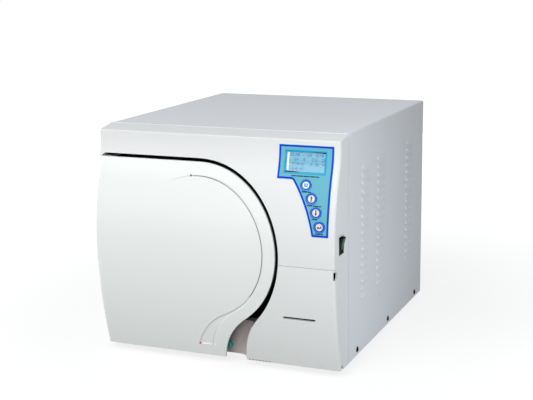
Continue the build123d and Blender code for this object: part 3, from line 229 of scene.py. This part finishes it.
def clear(name, tint):
    """Thin clear plastic: see-through, with a faint reflection that grows at an angle."""
    shader = Shader(name)
    sheen = shader.add("BsdfGlossy", {"Color": WHITE, "Roughness": 0.04})
    through = shader.add("BsdfTransparent", {"Color": tint})
    slant = shader.add("LayerWeight", {"Blend": 0.5}).outputs["Facing"]
    share = shader.ramp(shader.compute("POWER", slant, 5.0), 0.02, 1.0)
    mixed = shader.add("MixShader", {0: share})
    shader.join(through.outputs[0], mixed.inputs[1])
    shader.join(sheen.outputs[0], mixed.inputs[2])
    shader.join(mixed.outputs[0], shader.output.inputs["Surface"])
    shader.tree.nodes.remove(shader.surface)
    return shader.material


def ink(name, colour):
    """Screen-printed colour with the film's fine texture."""
    return paint(name, colour, 0.4, peel=0.000004, scale=1600.0, edge=0.0, specular=0.12)


def paper():
    """Matt white paper."""
    shader = Shader("paper")
    shader.set(Base_Color=mottled(shader, srgb(240, 239, 232), 0.02, 90.0), Roughness=0.85)
    shader.bump(shader.noise(600.0, 4.0), 0.00003)
    return shader.material


def wool():
    """Pale yellow glass wool."""
    shader = Shader("insulation")
    shader.set(Base_Color=mottled(shader, srgb(214, 208, 184), 0.1, 40.0), Roughness=0.95)
    shader.bump(shader.noise(160.0, 6.0, (1, 3, 1)), 0.002)
    return shader.material


def materials_of_slots():
    """One procedural material for each of the record's material slots."""
    return {
        "cover_paint": paint("cover_paint", srgb(228, 231, 234), 0.5, specular=0.35),
        "rear_paint": paint("rear_paint", srgb(212, 215, 220), 0.45),
        "bezel_plastic": paint("bezel_plastic", srgb(230, 231, 230), 0.5, specular=0.35),
        "flap_plastic": paint("flap_plastic", srgb(232, 234, 232), 0.5, specular=0.35),
        "door_plastic": paint("door_plastic", srgb(236, 239, 236), 0.3, gap_shade_coat=0.25),
        # The liner's near-black colour is partly its own dark grey and partly painted shade for the
        # gap round the door.
        "liner_plastic": moulded("liner_plastic", srgb(22, 22, 23), 0.6),
        "recess_plastic": moulded("recess_plastic", srgb(200, 189, 188), 0.45),
        "overlay_film": ink("overlay_film", srgb(105, 181, 200)),
        "display_glass": clear("display_glass", (0.97, 0.99, 1.0, 1.0)),
        "display_face": ink("display_face", srgb(126, 190, 208)),
        "key_plastic": paint("key_plastic", srgb(0, 100, 206), 0.35, peel=0.000008, scale=1200.0,
                             edge=0.0003, specular=0.2),
        # The switch's housing is light, though its slot is named for a black one.
        "switch_black": moulded("switch_white", srgb(238, 239, 238), 0.4),
        "rocker_plastic": moulded("rocker_plastic", srgb(8, 9, 8), 0.5, FINE_GRAIN, specular=0.02),
        "knob_plastic": moulded("knob_plastic", srgb(60, 196, 176), 0.25, FINE_GRAIN),
        "printer_plastic": moulded("printer_plastic", srgb(26, 23, 21), 0.6, specular=0.2),
        "paper": paper(),
        "board_green": moulded("board_green", srgb(22, 92, 52), 0.4, FINE_GRAIN),
        "black_plastic": moulded("black_plastic", srgb(24, 24, 26), 0.45),
        "filter_plastic": moulded("filter_plastic", srgb(222, 224, 227), 0.35, FINE_GRAIN),
        "tank_plastic": moulded("tank_plastic", srgb(226, 228, 224), 0.4, grain=0.00003),
        "foot_rubber": moulded("foot_rubber", srgb(26, 26, 26), 0.75),
        "gasket_silicone": moulded("gasket_silicone", srgb(214, 212, 205), 0.55, FINE_GRAIN),
        "insulation": wool(),
        "zinc_steel": metal("zinc_steel", srgb(186, 188, 192), 0.38, (300, 300, 300)),
        "bright_steel": metal("bright_steel", srgb(206, 207, 209), 0.2, (900, 60, 900)),
        "vessel_steel": metal("vessel_steel", srgb(200, 201, 203), 0.28, (900, 40, 900)),
        "black_steel": paint("black_steel", srgb(10, 10, 11), 0.4, specular=0.08),
        "tray_aluminium": metal("tray_aluminium", srgb(206, 208, 211), 0.32, (400, 60, 400)),
        "cast_aluminium": metal("cast_aluminium", srgb(176, 178, 181), 0.45, (500, 500, 500)),
        "fitting_brass": metal("fitting_brass", srgb(196, 160, 88), 0.28, (400, 400, 400)),
    }


def dress(materials):
    """Gives each CAD piece its slot's material, and the frame behind the door a black coat of
    painted shade for the gap round the door.
    """
    for entry in frame["record"]["subparts"]:
        mesh = NODES[entry["node"]].data
        mesh.materials.clear()
        mesh.materials.append(materials[entry["material_slot"]])
    # The frame's black coat paints the deep shade seen in the gap round the door.
    gap_shade_coat = paint("frame_painted_shade", srgb(5, 5, 6), 0.7, specular=0.1)
    NODES["front_frame"].data.materials[0] = gap_shade_coat


# ---------------------------------------------------------------- printed details
def surface_of(node):
    """A search tree of a CAD node's mesh, for laying printed shapes on it."""
    mesh = NODES[node].data
    return BVHTree.FromPolygons(
        [vertex.co for vertex in mesh.vertices], [list(face.vertices) for face in mesh.polygons]
    )


def on_surface(tree, x, z, lift):
    """The point on a surface seen straight from the front, lifted off it."""
    hit, normal, _, _ = tree.ray_cast(Vector((x, -1.0, z)), Vector((0, 1, 0)))
    return hit + normal * lift if normal.y < 0 else hit - normal * lift


def raised_face(shape, front, back):
    """Adds a thin slab between two rings of points."""
    front = [shape.verts.new(point) for point in front]
    back = [shape.verts.new(point) for point in back]
    shape.faces.new(front)
    shape.faces.new(back[::-1])
    for i in range(len(front)):
        j = (i + 1) % len(front)
        shape.faces.new((front[j], front[i], back[i], back[j]))


def band(shape, rings):
    """Joins each ring of vertices to the next one, which has as many, with four-sided faces."""
    count = len(rings[0])
    for outer, inner in zip(rings, rings[1:]):
        for i in range(count):
            j = (i + 1) % count
            shape.faces.new((outer[i], outer[j], inner[j], inner[i]))


def printed(name, outlines, node, material, body, slot, height=PRINT):
    """Thin raised shapes on a node's front, each one face bounded by points in X and Z."""
    tree = surface_of(node)
    shape = bmesh.new()
    for points in outlines:
        front = [on_surface(tree, x, z, height) for x, z in points]
        raised_face(shape, front, [on_surface(tree, x, z, -height / 2) for x, z in points])
    finished(shape, name, material, body, slot)


def finished(shape, name, material, body, slot):
    """Turns a bmesh into an object that rides on a body."""
    bmesh.ops.remove_doubles(shape, verts=shape.verts, dist=1e-7)
    bmesh.ops.recalc_face_normals(shape, faces=shape.faces)
    mesh = bpy.data.meshes.new(name)
    shape.to_mesh(mesh)
    shape.free()
    mesh.materials.append(material)
    made = bpy.data.objects.new(name, mesh)
    bpy.context.scene.collection.objects.link(made)
    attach(made, body)


def strip(outer, inner):
    """Four-sided pieces between two outlines that have as many points each."""
    count = len(outer)
    return [
        [outer[i], outer[(i + 1) % count], inner[(i + 1) % count], inner[i]] for i in range(count)
    ]


def film_outline(inset):
    """The control film's outline, moved inwards, as corners and sampled arcs."""
    arc, corner = FILM_ARC + inset, FILM_ROUND + inset
    left, right = film_low.x + inset, film_high.x - inset
    bottom, top, step = film_low.z + inset, film_high.z - inset, FILM_STEP + inset
    reach = arc - corner
    corner_z = step - corner
    corner_x = chamber_x + math.sqrt(reach**2 - (corner_z - chamber_z) ** 2)
    meet = math.degrees(math.atan2(corner_z - chamber_z, corner_x - chamber_x))
    last = math.degrees(math.asin((bottom - chamber_z) / arc))
    return [
        (left, top),
        (left, step),
        *circle_points((corner_x, corner_z), corner, 90, meet, 9),
        *circle_points((chamber_x, chamber_z), arc, meet, last, 33)[1:],
        (right, bottom),
        (right, top),
    ]


def matched(inset):
    """The film's outline with its sides divided, so that it pairs up with one of another inset."""
    points = film_outline(inset)
    # Parts of each side, from the film's left side round to its top.
    counts = [18, 4, *[1] * (len(points) - 6), 8, 48, 32, 1]
    result = []
    for (x, z), (next_x, next_z), count in zip(points, points[1:] + points[:1], counts):
        for k in range(count):
            result.append((x + (next_x - x) * k / count, z + (next_z - z) * k / count))
    return result


def rectangle(left, right, low, high):
    """A rectangle's corners in X and Z."""
    return [(left, low), (right, low), (right, high), (left, high)]


def ring(centre, inner, outer):
    """The pieces of a flat ring between two radii."""
    count = 48
    return strip(full_circle(centre, outer, count), full_circle(centre, inner, count))


def border(left, right, low, high, width):
    """The pieces of a rectangular line of a width, inside the given edges."""
    across, up = max(1, round((right - left) / PIECE)), max(1, round((high - low) / PIECE))
    shapes = []
    for i in range(across):
        x = (left + (right - left) * i / across, left + (right - left) * (i + 1) / across)
        shapes += [rectangle(*x, low, low + width), rectangle(*x, high - width, high)]
    for i in range(up):
        z = (low + width, high - width)
        part = (z[0] + (z[1] - z[0]) * i / up, z[0] + (z[1] - z[0]) * (i + 1) / up)
        shapes += [rectangle(left, left + width, *part), rectangle(right - width, right, *part)]
    return shapes


def middle_of(node):
    """The middle of a CAD node in X and Z."""
    low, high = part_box(node)
    return ((low.x + high.x) / 2, (low.z + high.z) / 2)


MARK_WIDTHS = (1.7, 2.2, 1.1, 1.9, 1.4, 2.5, 1.2, 1.6, 2.0)  # millimetres
MARK_HEIGHT, MARK_GAP = 2.0 * MILLI, 0.4 * MILLI
WORD_MARKS, WORD_GAP = 5, 3 * MARK_GAP


def small_print(left, middle, length):
    """A row of short upright marks of uneven width that stands for a line of small print."""
    shapes = []
    right, low, high = left + length, middle - MARK_HEIGHT / 2, middle + MARK_HEIGHT / 2
    for i, width in enumerate(itertools.cycle(MARK_WIDTHS), 1):
        end = left + width * MILLI
        if end > right:
            return shapes
        shapes.append(rectangle(left, end, low, high))
        left = end + (MARK_GAP if i % WORD_MARKS else WORD_GAP)


SEGMENTS = {
    "0": "abcdef", "1": "bc", "2": "abged", "3": "abgcd", "4": "fgbc", "5": "afgcd",
    "6": "afgecd", "7": "abc", "8": "abcdefg", "9": "abcdfg", "-": "g",
}


def digit(figure, left, low, width, height, line):
    """One seven-segment figure as bars."""
    right, high, middle, half = left + width, low + height, low + height / 2, line / 2
    bars = {
        "a": (left, right, high - line, high),
        "b": (right - line, right, middle + half, high - line),
        "c": (right - line, right, low + line, middle - half),
        "d": (left, right, low, low + line),
        "e": (left, left + line, low + line, middle - half),
        "f": (left, left + line, middle + half, high - line),
        "g": (left, right, middle - half, middle + half),
    }
    return [rectangle(*bars[name]) for name in SEGMENTS[figure]]


def figures(text, left, low):
    """A row of figures, where "." is a point, ":" a colon and " " a space."""
    width, height, line = 3.0 * MILLI, 5.0 * MILLI, 1.0 * MILLI
    figure_gap, dot_pitch = 1.1 * line, 1.9 * line
    shapes = []
    for mark in text:
        if mark in ".:":
            dots = (low, low + height / 2) if mark == ":" else (low,)
            shapes += [rectangle(left, left + line, dot, dot + line) for dot in dots]
            left += dot_pitch
            continue
        if mark != " ":
            shapes += digit(mark, left, low, width, height, line)
        left += width + figure_gap
    return shapes


# ---------------------------------------------------------------- the printed panel
def print_panel():
    """The control film's border, the display's frame, the captions and the keys' rings."""
    blue = ink("border_print", srgb(0, 58, 204))
    cyan = ink("frame_print", srgb(0, 166, 216))
    black = ink("caption_print", srgb(6, 14, 30))
    film = ("casing", "overlay_film")
    edging = strip(matched(0.3 * MILLI), matched(BORDER))
    printed("overlay_border", edging, "control_overlay", blue, *film)

    left, right, low, high = window_low.x, window_high.x, window_low.z, window_high.z
    gap, outer_width, rim, inner_width = 0.4 * MILLI, 2.0 * MILLI, 0.1 * MILLI, 1.2 * MILLI
    out = gap + outer_width
    outside = (left - out, right + out, low - out, high + out)
    printed("display_frame", border(*outside, outer_width), "control_overlay", cyan, *film)
    inside = (left + rim, right - rim, low + rim, high - rim)
    printed("window_frame", border(*inside, inner_width), "display_window", cyan, "casing",
            "display_glass")

    captions = small_print(film_low.x + 27 * MILLI, low - 5.6 * MILLI, 53 * MILLI)
    # In millimetres: how far right of a key and below it its caption's middle lies, and its length.
    rows = {
        "key_menu": (3.0, 11.5, 19.6),
        "key_up": (6.0, 12.0, 27.0),
        "key_down": (-0.5, 11.7, 13.0),
        "key_enter": (0.5, 12.1, 17.0),
    }
    for key, (across, below, length) in rows.items():
        x, z = middle_of(key)
        start = x + (across - length / 2) * MILLI
        captions += small_print(start, z - below * MILLI, length * MILLI)
    printed("captions", captions, "control_overlay", black, *film, 2 * PRINT)
    rings = [part for key in rows for part in ring(middle_of(key), 9.7 * MILLI, 11.0 * MILLI)]
    printed("key_rings", rings, "control_overlay", ink("ring_print", srgb(0, 96, 208)), *film)


def on_key(key, shapes, name, material, height):
    """Thin raised shapes on a key's sloping face, drawn from its middle in millimetres."""
    x, z = middle_of(key)
    tree = surface_of(key)
    middle, normal, _, _ = tree.ray_cast(Vector((x, -1.0, z)), Vector((0, 1, 0)))
    across = Vector((1, 0, 0))
    up = normal.cross(across) if normal.cross(across).z > 0 else across.cross(normal)
    shape = bmesh.new()
    for points in shapes:
        flat = [middle + (across * u + up * v) * MILLI for u, v in points]
        raised_face(shape, [p + normal * height for p in flat], [p - normal * PRINT for p in flat])
    finished(shape, name, material, key, "key_plastic")


def print_keys():
    """Each key's pale face and its blue mark: bars, an arrow up, one down and one to the left."""
    looks = {
        "key_menu": (srgb(238, 240, 232), srgb(10, 160, 226)),
        "key_up": (srgb(250, 232, 212), srgb(0, 108, 214)),
        "key_down": (srgb(250, 226, 206), srgb(0, 98, 192)),
        "key_enter": (srgb(250, 216, 196), srgb(0, 92, 160)),
    }
    marks = {
        "key_menu": [
            rectangle(-3.4, -1.9, -3.2, 3.2),
            rectangle(-0.8, 0.8, -3.2, 3.2),
            rectangle(1.9, 3.4, -3.2, 3.2),
            rectangle(-1.9, -0.8, 1.2, 2.4),
            rectangle(0.8, 1.9, -2.4, -1.2),
        ],
        "key_up": [
            rectangle(-1.2, 1.2, -5.2, 1.2),
            [(-2.6, 1.0), (2.6, 1.0), (0.0, 5.4)],
        ],
        "key_down": [
            rectangle(-1.2, 1.2, -1.2, 5.2),
            [(-2.6, -1.0), (0.0, -5.4), (2.6, -1.0)],
        ],
        "key_enter": [
            rectangle(-1.4, 4.2, -2.2, -0.2),
            rectangle(2.4, 4.2, -0.2, 2.4),
            [(-5.2, -1.2), (-1.2, -3.8), (-1.2, 1.4)],
        ],
    }
    disc = full_circle((0, 0), 6.3, 48)
    for key, (pale, blue) in looks.items():
        on_key(key, [disc], key + "_face", ink(key + "_white", pale), PRINT)
        on_key(key, marks[key], key + "_mark", ink(key + "_blue", blue), 2 * PRINT)


def print_display():
    """The display's pale left edge, a painted highlight for the lit inner wall of its recess, its
    dark corners and four rows of faint figures.
    """
    left, right, low, high = window_low.x, window_high.x, window_low.z, window_high.z
    frame_width, edge_end, rim = 1.2 * MILLI, 5.4 * MILLI, 0.1 * MILLI
    # A pale strip on the display's left edge: a painted highlight where the recess's inner wall
    # catches the light.
    edge = [rectangle(left + frame_width, left + edge_end, low + frame_width, high - frame_width)]
    printed("display_painted_highlight", edge, "display_module", ink("edge_painted_highlight", srgb(250, 252, 250)),
            "casing", "display_face")
    rows = ["20:08 11.02 13:46", " 134  5   0.21 08", " 0734.5  12 30 45", "-345 67"]
    row_start, first_row, row_pitch = 7.0, 8.6, 8.0
    shapes = []
    for i, row in enumerate(rows):
        shapes += figures(row, left + row_start * MILLI, high - (first_row + row_pitch * i) * MILLI)
    printed("display_figures", shapes, "display_module", ink("figure_print", srgb(70, 118, 188)),
            "casing", "display_face")
    # A dark wedge along the lower left of the rim, and one along its upper right.
    start, end, base = left + rim, left + 27 * MILLI, low + rim
    turn, stop, top = right - 22 * MILLI, right - rim, high - rim
    corners = [
        [(start, base), (end, base), (end, low + 0.9 * MILLI), (start, low + 2.4 * MILLI)],
        [(turn, high - 0.8 * MILLI), (stop, high - 2.2 * MILLI), (stop, top), (turn, top)],
    ]
    printed("display_corners", corners, "display_window", ink("corner_print", srgb(6, 12, 18)),
            "casing", "display_glass", 2 * PRINT)


def add_stud(name, centre, radius, material):
    """A small round stud on the door, its head just proud of the surface round it."""
    tree = surface_of("door_cover")
    points = full_circle(centre, radius, 24)
    depths = [on_surface(tree, x, z, 0.0).y for x, z in points]
    outer, deep = min(depths), max(depths)
    shape = bmesh.new()
    front = [Vector((x, outer - 2 * PRINT, z)) for x, z in points]
    raised_face(shape, front, [Vector((x, deep + PRINT, z)) for x, z in points])
    finished(shape, name, material, "door", "door_plastic")


def foot_painted_shade():
    """The pieces of a faint line of painted shade up the foot's right side, which bows to the left
    and narrows.
    """
    start, end = (chamber_x + 19.0 * MILLI, 35 * MILLI), (chamber_x + 36.8 * MILLI, 79 * MILLI)
    steps, bow, half_width, narrowing = 12, 2.0 * MILLI, 0.9 * MILLI, 0.8
    sides = []
    for i in range(steps + 1):
        share = i / steps
        x = start[0] + (end[0] - start[0]) * share - bow * math.sin(math.pi * share)
        z = start[1] + (end[1] - start[1]) * share
        half = half_width * (1 - narrowing * share)
        sides.append(((x - half, z), (x + half, z)))
    return [[*below, *above[::-1]] for below, above in zip(sides, sides[1:])]


def groove_shadow():
    """The pieces of the groove's shaded edge, from its stud down to where the foot turns."""
    first_angle, last_angle, count = 94, -38, 89
    arcs = [circle_points((chamber_x, chamber_z), GROOVE_RADIUS - inset * MILLI, first_angle,
                          last_angle, count) for inset in (1.3, 0.9, 0.5, 0.1)]
    return [[a, b, c, d] for inner, outer in zip(arcs, arcs[1:])
            for a, b, c, d in zip(inner, inner[1:], outer[1:], outer)]


def print_door():
    """The dark stud where the groove begins, the orange one beside its foot, and their lines of
    painted shade along the groove's inner edge and up the foot's right side.
    """
    add_stud("start_dot", (chamber_x - 12.5 * MILLI, chamber_z + 133.1 * MILLI), 1.9 * MILLI,
             ink("dot_print", srgb(112, 112, 110)))
    add_stud("foot_dot", (chamber_x - 6.2 * MILLI, chamber_z - 188.8 * MILLI), 2.0 * MILLI,
             ink("orange_print", srgb(226, 104, 40)))
    # A faint grey line of painted shade along the groove's right wall at the foot.
    printed("foot_painted_shade", foot_painted_shade(), "door_cover", ink("line_painted_shade", srgb(208, 211, 208)),
            "door", "door_plastic")
    # A dark grey strip of painted shadow along the groove's inner edge.
    printed("groove_edge", groove_shadow(), "door_cover", ink("groove_painted_shade", srgb(158, 159, 156)),
            "door", "door_plastic")


def add_gap_shade():
    """A thin black sheet on the door's top edge at its hinge side, painted shade that closes the
    gap there.
    """
    low = (door_low.x + 1.5 * MILLI, door_high.y - 24 * MILLI, door_high.z - PRINT)
    size = (22 * MILLI, 22.5 * MILLI, 3 * PRINT)
    shape = bmesh.new()
    bmesh.ops.create_cube(shape, size=1.0)
    for vertex in shape.verts:
        vertex.co = [low[i] + (vertex.co[i] + 0.5) * size[i] for i in range(3)]
    # The black sheet paints the deep shade of the gap between the door and the bezel.
    material = paint("gap_shade_sheet", srgb(6, 6, 6), 0.8, specular=0.05)
    finished(shape, "door_gap_shade", material, "door", "door_plastic")


def print_flap():
    """The dark edge of the flap's slot, and a row of dark dashes of painted shadow along its lower
    left.
    """
    left, right, low, high = SLOT
    width = 0.5 * MILLI
    edges = border(left - width, right + width, low - width, high + width, width)
    printed("slot_edge", edges, "service_flap", ink("slot_print", srgb(52, 44, 38)), "flap",
            "flap_plastic")
    corner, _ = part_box("service_flap")
    start, bottom = corner.x + 3 * MILLI, corner.z + 0.4 * MILLI
    # Dark dashes that paint the shadow under the flap's lower edge.
    count, pitch, length, height = 7, 6.6 * MILLI, 4.6 * MILLI, 1.3 * MILLI
    dashes = [rectangle(start + i * pitch, start + i * pitch + length, bottom, bottom + height)
              for i in range(count)]
    printed("flap_dashes", dashes, "service_flap", ink("dash_painted_shadow", srgb(104, 78, 78)), "flap",
            "flap_plastic")


def add_lens():
    """The rocker's green lens, a shallow bevelled plate on the rear half of its outer face."""
    tree = surface_of("power_rocker")
    low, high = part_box("power_rocker")
    middle_y = (low.y + high.y) / 2
    # In millimetres: the lens's clearance from the rocker's middle, rear, top and bottom.
    clear_front, clear_back, clear_top, clear_bottom = 0.2, 1.0, 1.6, 7.0
    rows = 9
    outlines = []
    for inset, height in ((0.0, -0.1), (0.0, 0.35), (0.5, 0.7)):
        front = middle_y + (clear_front + inset) * MILLI
        back = high.y - (clear_back + inset) * MILLI
        top = high.z - (clear_top + inset) * MILLI
        bottom = low.z + (clear_bottom + inset) * MILLI
        side = []
        for i in range(rows):
            z = bottom + (top - bottom) * i / (rows - 1)
            hit, normal, _, _ = tree.ray_cast(Vector((1.0, middle_y, z)), Vector((-1, 0, 0)))
            side.append(hit + normal * height * MILLI)
        outlines.append([Vector((p.x, front, p.z)) for p in side]
                        + [Vector((p.x, back, p.z)) for p in reversed(side)])
    shape = bmesh.new()
    rings = [[shape.verts.new(point) for point in outline] for outline in outlines]
    band(shape, rings)
    last = len(rings[0]) - 1
    for end in (rings[0], rings[-1]):
        for i in range(rows - 1):
            shape.faces.new((end[i], end[i + 1], end[last - 1 - i], end[last - i]))
    material = moulded("lens_plastic", srgb(0, 112, 70), 0.4, FINE_GRAIN, specular=0.04)
    finished(shape, "rocker_lens", material, "rocker", "rocker_plastic")


def screw_middles():
    """Each cover screw's side (-1 or 1) and its middle in Y and Z, from its vertices."""
    screw_gap = 5 * MILLI
    screws = []
    corners = [vertex.co.copy() for vertex in NODES["cover_screws"].data.vertices]
    for corner in sorted(corners, key=lambda point: (point.x > 0, point.y)):
        last = screws[-1][-1] if screws else None
        if last and (last.x > 0) == (corner.x > 0) and corner.y - last.y < screw_gap:
            screws[-1].append(corner)
        else:
            screws.append([corner])
    for points in screws:
        y = (max(p.y for p in points) + min(p.y for p in points)) / 2
        z = (max(p.z for p in points) + min(p.z for p in points)) / 2
        yield (1 if points[0].x > 0 else -1), y, z


def add_washers():
    """A black cup washer round each of the cover's screws."""
    cover = surface_of("outer_cover")
    beside = 5.8 * MILLI  # how far from a screw's middle the cover's face is looked for
    # The washer's section: radius, and height above the cover, in millimetres.
    section = ((4.05, 0.1), (5.6, 0.1), (5.6, 0.4), (5.2, 0.9), (4.05, 1.1))
    shape = bmesh.new()
    for side, y, z in screw_middles():
        hit, _, _, _ = cover.ray_cast(Vector((side, y + beside, z)), Vector((-side, 0, 0)))
        rings = []
        for radius, height in section:
            x = hit.x + side * height * MILLI
            points = full_circle((y, z), radius * MILLI, 32)
            rings.append([shape.verts.new((x, v, w)) for v, w in points])
        band(shape, [*rings, rings[0]])
    material = paint("washer_paint", srgb(8, 8, 9), 0.4, specular=0.05)
    finished(shape, "screw_washers", material, "casing", "black_steel")


def add_hem_highlights():
    """A painted highlight on the edge of the cover's hem, on both sides of the front."""
    cover = surface_of("outer_cover")
    low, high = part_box("outer_cover")
    front, width = low.y + 0.3 * MILLI, 1.9 * MILLI
    bottom, length, steps = low.z + 4 * MILLI, high.z - low.z - 30 * MILLI, 24
    shape = bmesh.new()
    for side in (-1, 1):
        rows = []
        for i in range(steps + 1):
            z = bottom + length * i / steps
            row = []
            for y in (front, front + width):
                hit, _, _, _ = cover.ray_cast(Vector((side, y, z)), Vector((-side, 0, 0)))
                row.append((hit.x + side * PRINT, y, z))
                row.append((hit.x - side * PRINT / 2, y, z))
            rows.append([shape.verts.new(point) for point in (row[0], row[2], row[3], row[1])])
        band(shape, rows)
        shape.faces.new(rows[0])
        shape.faces.new(rows[-1])
    # A light strip that paints the highlight caught by the hem's edge.
    material = paint("hem_painted_highlight", srgb(246, 247, 249), 0.35)
    finished(shape, "hem_highlights", material, "casing", "cover_paint")


def add_rivet():
    """A small rivet's domed head on the cover's right side."""
    tree = surface_of("outer_cover")
    y, z = -25.2 * MILLI, 90 * MILLI
    hit, _, _, _ = tree.ray_cast(Vector((1.0, y, z)), Vector((-1, 0, 0)))
    shape = bmesh.new()
    rings = []
    # The head's section: radius, and height above the cover, in millimetres.
    for radius, height in ((1.8, -0.1), (1.8, 0.15), (1.5, 0.45), (0.9, 0.7)):
        points = full_circle((y, z), radius * MILLI, 24)
        rings.append([shape.verts.new((hit.x + height * MILLI, v, w)) for v, w in points])
    band(shape, rings)
    shape.faces.new(rings[0])
    shape.faces.new(rings[-1])
    material = paint("rivet_paint", srgb(178, 184, 190), 0.4)
    finished(shape, "cover_rivet", material, "casing", "cover_paint")


# ---------------------------------------------------------------- light, floor and camera
def add_area(name, place, target, size, power, colour=(1, 1, 1)):
    """A rectangular lamp of a width, a height and a power in watts, turned towards a target."""
    lamp = bpy.data.lights.new(name, "AREA")
    lamp.shape = "RECTANGLE"
    lamp.size, lamp.size_y = size
    lamp.energy = power
    lamp.color = colour
    made = bpy.data.objects.new(name, lamp)
    made.location = place
    direction = Vector(target) - Vector(place)
    made.rotation_euler = direction.to_track_quat("-Z", "Y").to_euler()
    made.visible_camera = False
    bpy.context.scene.collection.objects.link(made)


def seen_directly(tree):
    """1 for rays from the camera, from a reflection or through glass, else 0."""
    path = tree.nodes.new("ShaderNodeLightPath")
    total = path.outputs["Is Camera Ray"]
    for other in ("Is Glossy Ray", "Is Transmission Ray"):
        join = tree.nodes.new("ShaderNodeMath")
        join.operation = "MAXIMUM"
        tree.links.new(total, join.inputs[0])
        tree.links.new(path.outputs[other], join.inputs[1])
        total = join.outputs[0]
    return total


def add_world():
    """Cool ambient light, with a plain white backdrop for what looks straight at it."""
    world = bpy.data.worlds.new("studio")
    bpy.context.scene.world = world
    world.use_nodes = True
    tree = world.node_tree
    ambient = tree.nodes["Background"]
    ambient.inputs["Color"].default_value = AMBIENT_COLOUR
    ambient.inputs["Strength"].default_value = AMBIENT_STRENGTH
    backdrop = tree.nodes.new("ShaderNodeBackground")
    backdrop.inputs["Color"].default_value = WHITE
    backdrop.inputs["Strength"].default_value = 1.0
    mixed = tree.nodes.new("ShaderNodeMixShader")
    tree.links.new(seen_directly(tree), mixed.inputs[0])
    tree.links.new(ambient.outputs[0], mixed.inputs[1])
    tree.links.new(backdrop.outputs[0], mixed.inputs[2])
    tree.links.new(mixed.outputs[0], tree.nodes["World Output"].inputs["Surface"])


def add_floor():
    """A floor that takes soft shadows and glows to white away from the machine."""
    shape = bmesh.new()
    bmesh.ops.create_grid(shape, x_segments=1, y_segments=1, size=6.0)
    mesh = bpy.data.meshes.new("floor")
    shape.to_mesh(mesh)
    shape.free()
    shader = Shader("floor")
    tree = shader.tree
    cloth = shader.add("BsdfDiffuse", {"Color": FLOOR_GREY})
    apart = shader.add("VectorMath", {"Vector": shader.place()}, operation="LENGTH")
    spread = {"Value": apart.outputs["Value"], "From Min": 0.45, "From Max": 1.6,
              "To Min": 0.80, "To Max": 1.0}
    strength = shader.add("MapRange", spread).outputs["Result"]
    glow = shader.add("Emission", {"Color": WHITE, "Strength": strength})
    dark = shader.add("Emission", {"Color": BLACK, "Strength": 0.0})
    shown = shader.add("MixShader")
    tree.links.new(seen_directly(tree), shown.inputs[0])
    tree.links.new(dark.outputs[0], shown.inputs[1])
    tree.links.new(glow.outputs[0], shown.inputs[2])
    total = shader.add("AddShader")
    tree.links.new(cloth.outputs[0], total.inputs[0])
    tree.links.new(shown.outputs[0], total.inputs[1])
    tree.links.new(total.outputs[0], shader.output.inputs["Surface"])
    tree.nodes.remove(shader.surface)
    mesh.materials.append(shader.material)
    floor = bpy.data.objects.new("floor", mesh)
    bpy.context.scene.collection.objects.link(floor)


def add_camera():
    """The camera that the picture is taken with."""
    lens = bpy.data.cameras.new("camera")
    lens.lens, lens.sensor_width = CAMERA_LENS, SENSOR_WIDTH
    lens.clip_start, lens.clip_end = 0.05, 50.0
    camera = bpy.data.objects.new("camera", lens)
    turn = Matrix.Rotation(math.radians(CAMERA_HEADING), 4, "Z")
    tip = Matrix.Rotation(math.radians(90 + CAMERA_PITCH), 4, "X")
    roll = Matrix.Rotation(math.radians(CAMERA_ROLL), 4, "Z")
    camera.matrix_world = Matrix.Translation(CAMERA_PLACE) @ turn @ tip @ roll
    bpy.context.scene.collection.objects.link(camera)
    bpy.context.scene.camera = camera


# ---------------------------------------------------------------- the scene
bpy.context.scene.view_settings.view_transform = "Standard"
add_camera()
add_world()
add_floor()
# Three large lamps in front, weak cool ones along the right side, one of them from below for the
# louvres, and two that light the back and the left side.
add_area("key", (-1.3, -2.6, 1.9), LAMP_TARGET, (1.6, 1.2), 12.5)
add_area("high", (-0.4, -2.2, 2.6), LAMP_TARGET, (1.6, 1.2), 33.5)
add_area("front", (0.2, -2.8, 0.7), LAMP_TARGET, (1.6, 1.0), 19.0)
add_area("side", (0.6, -0.4, 0.55), (0.24, -0.22, 0.3), (0.3, 0.3), 0.65, (0.9, 0.95, 1.0))
add_area("left", (-0.9, -2.4, 0.5), (-0.1, -0.3, 0.15), (1.4, 0.8), 3.3)
add_area("back", (-1.0, 2.4, 0.22), (0.0, 0.3, 0.22), (1.6, 0.38), 16.0)
add_area("left_side", (-2.2, 0.3, 0.22), (-0.25, 0.1, 0.22), (1.6, 0.38), 12.0)
add_area("low_side", (0.8, -0.5, 0.06), (0.24, -0.15, 0.06), (0.6, 0.1), 0.5, COOL)
add_area("under_side", (0.72, -0.16, 0.03), (0.24, -0.16, 0.3), (0.5, 0.05), 0.66, COOL)

dress(materials_of_slots())
print_panel()
print_keys()
print_display()
print_door()
add_gap_shade()
print_flap()
add_lens()
add_washers()
add_hem_highlights()
add_rivet()
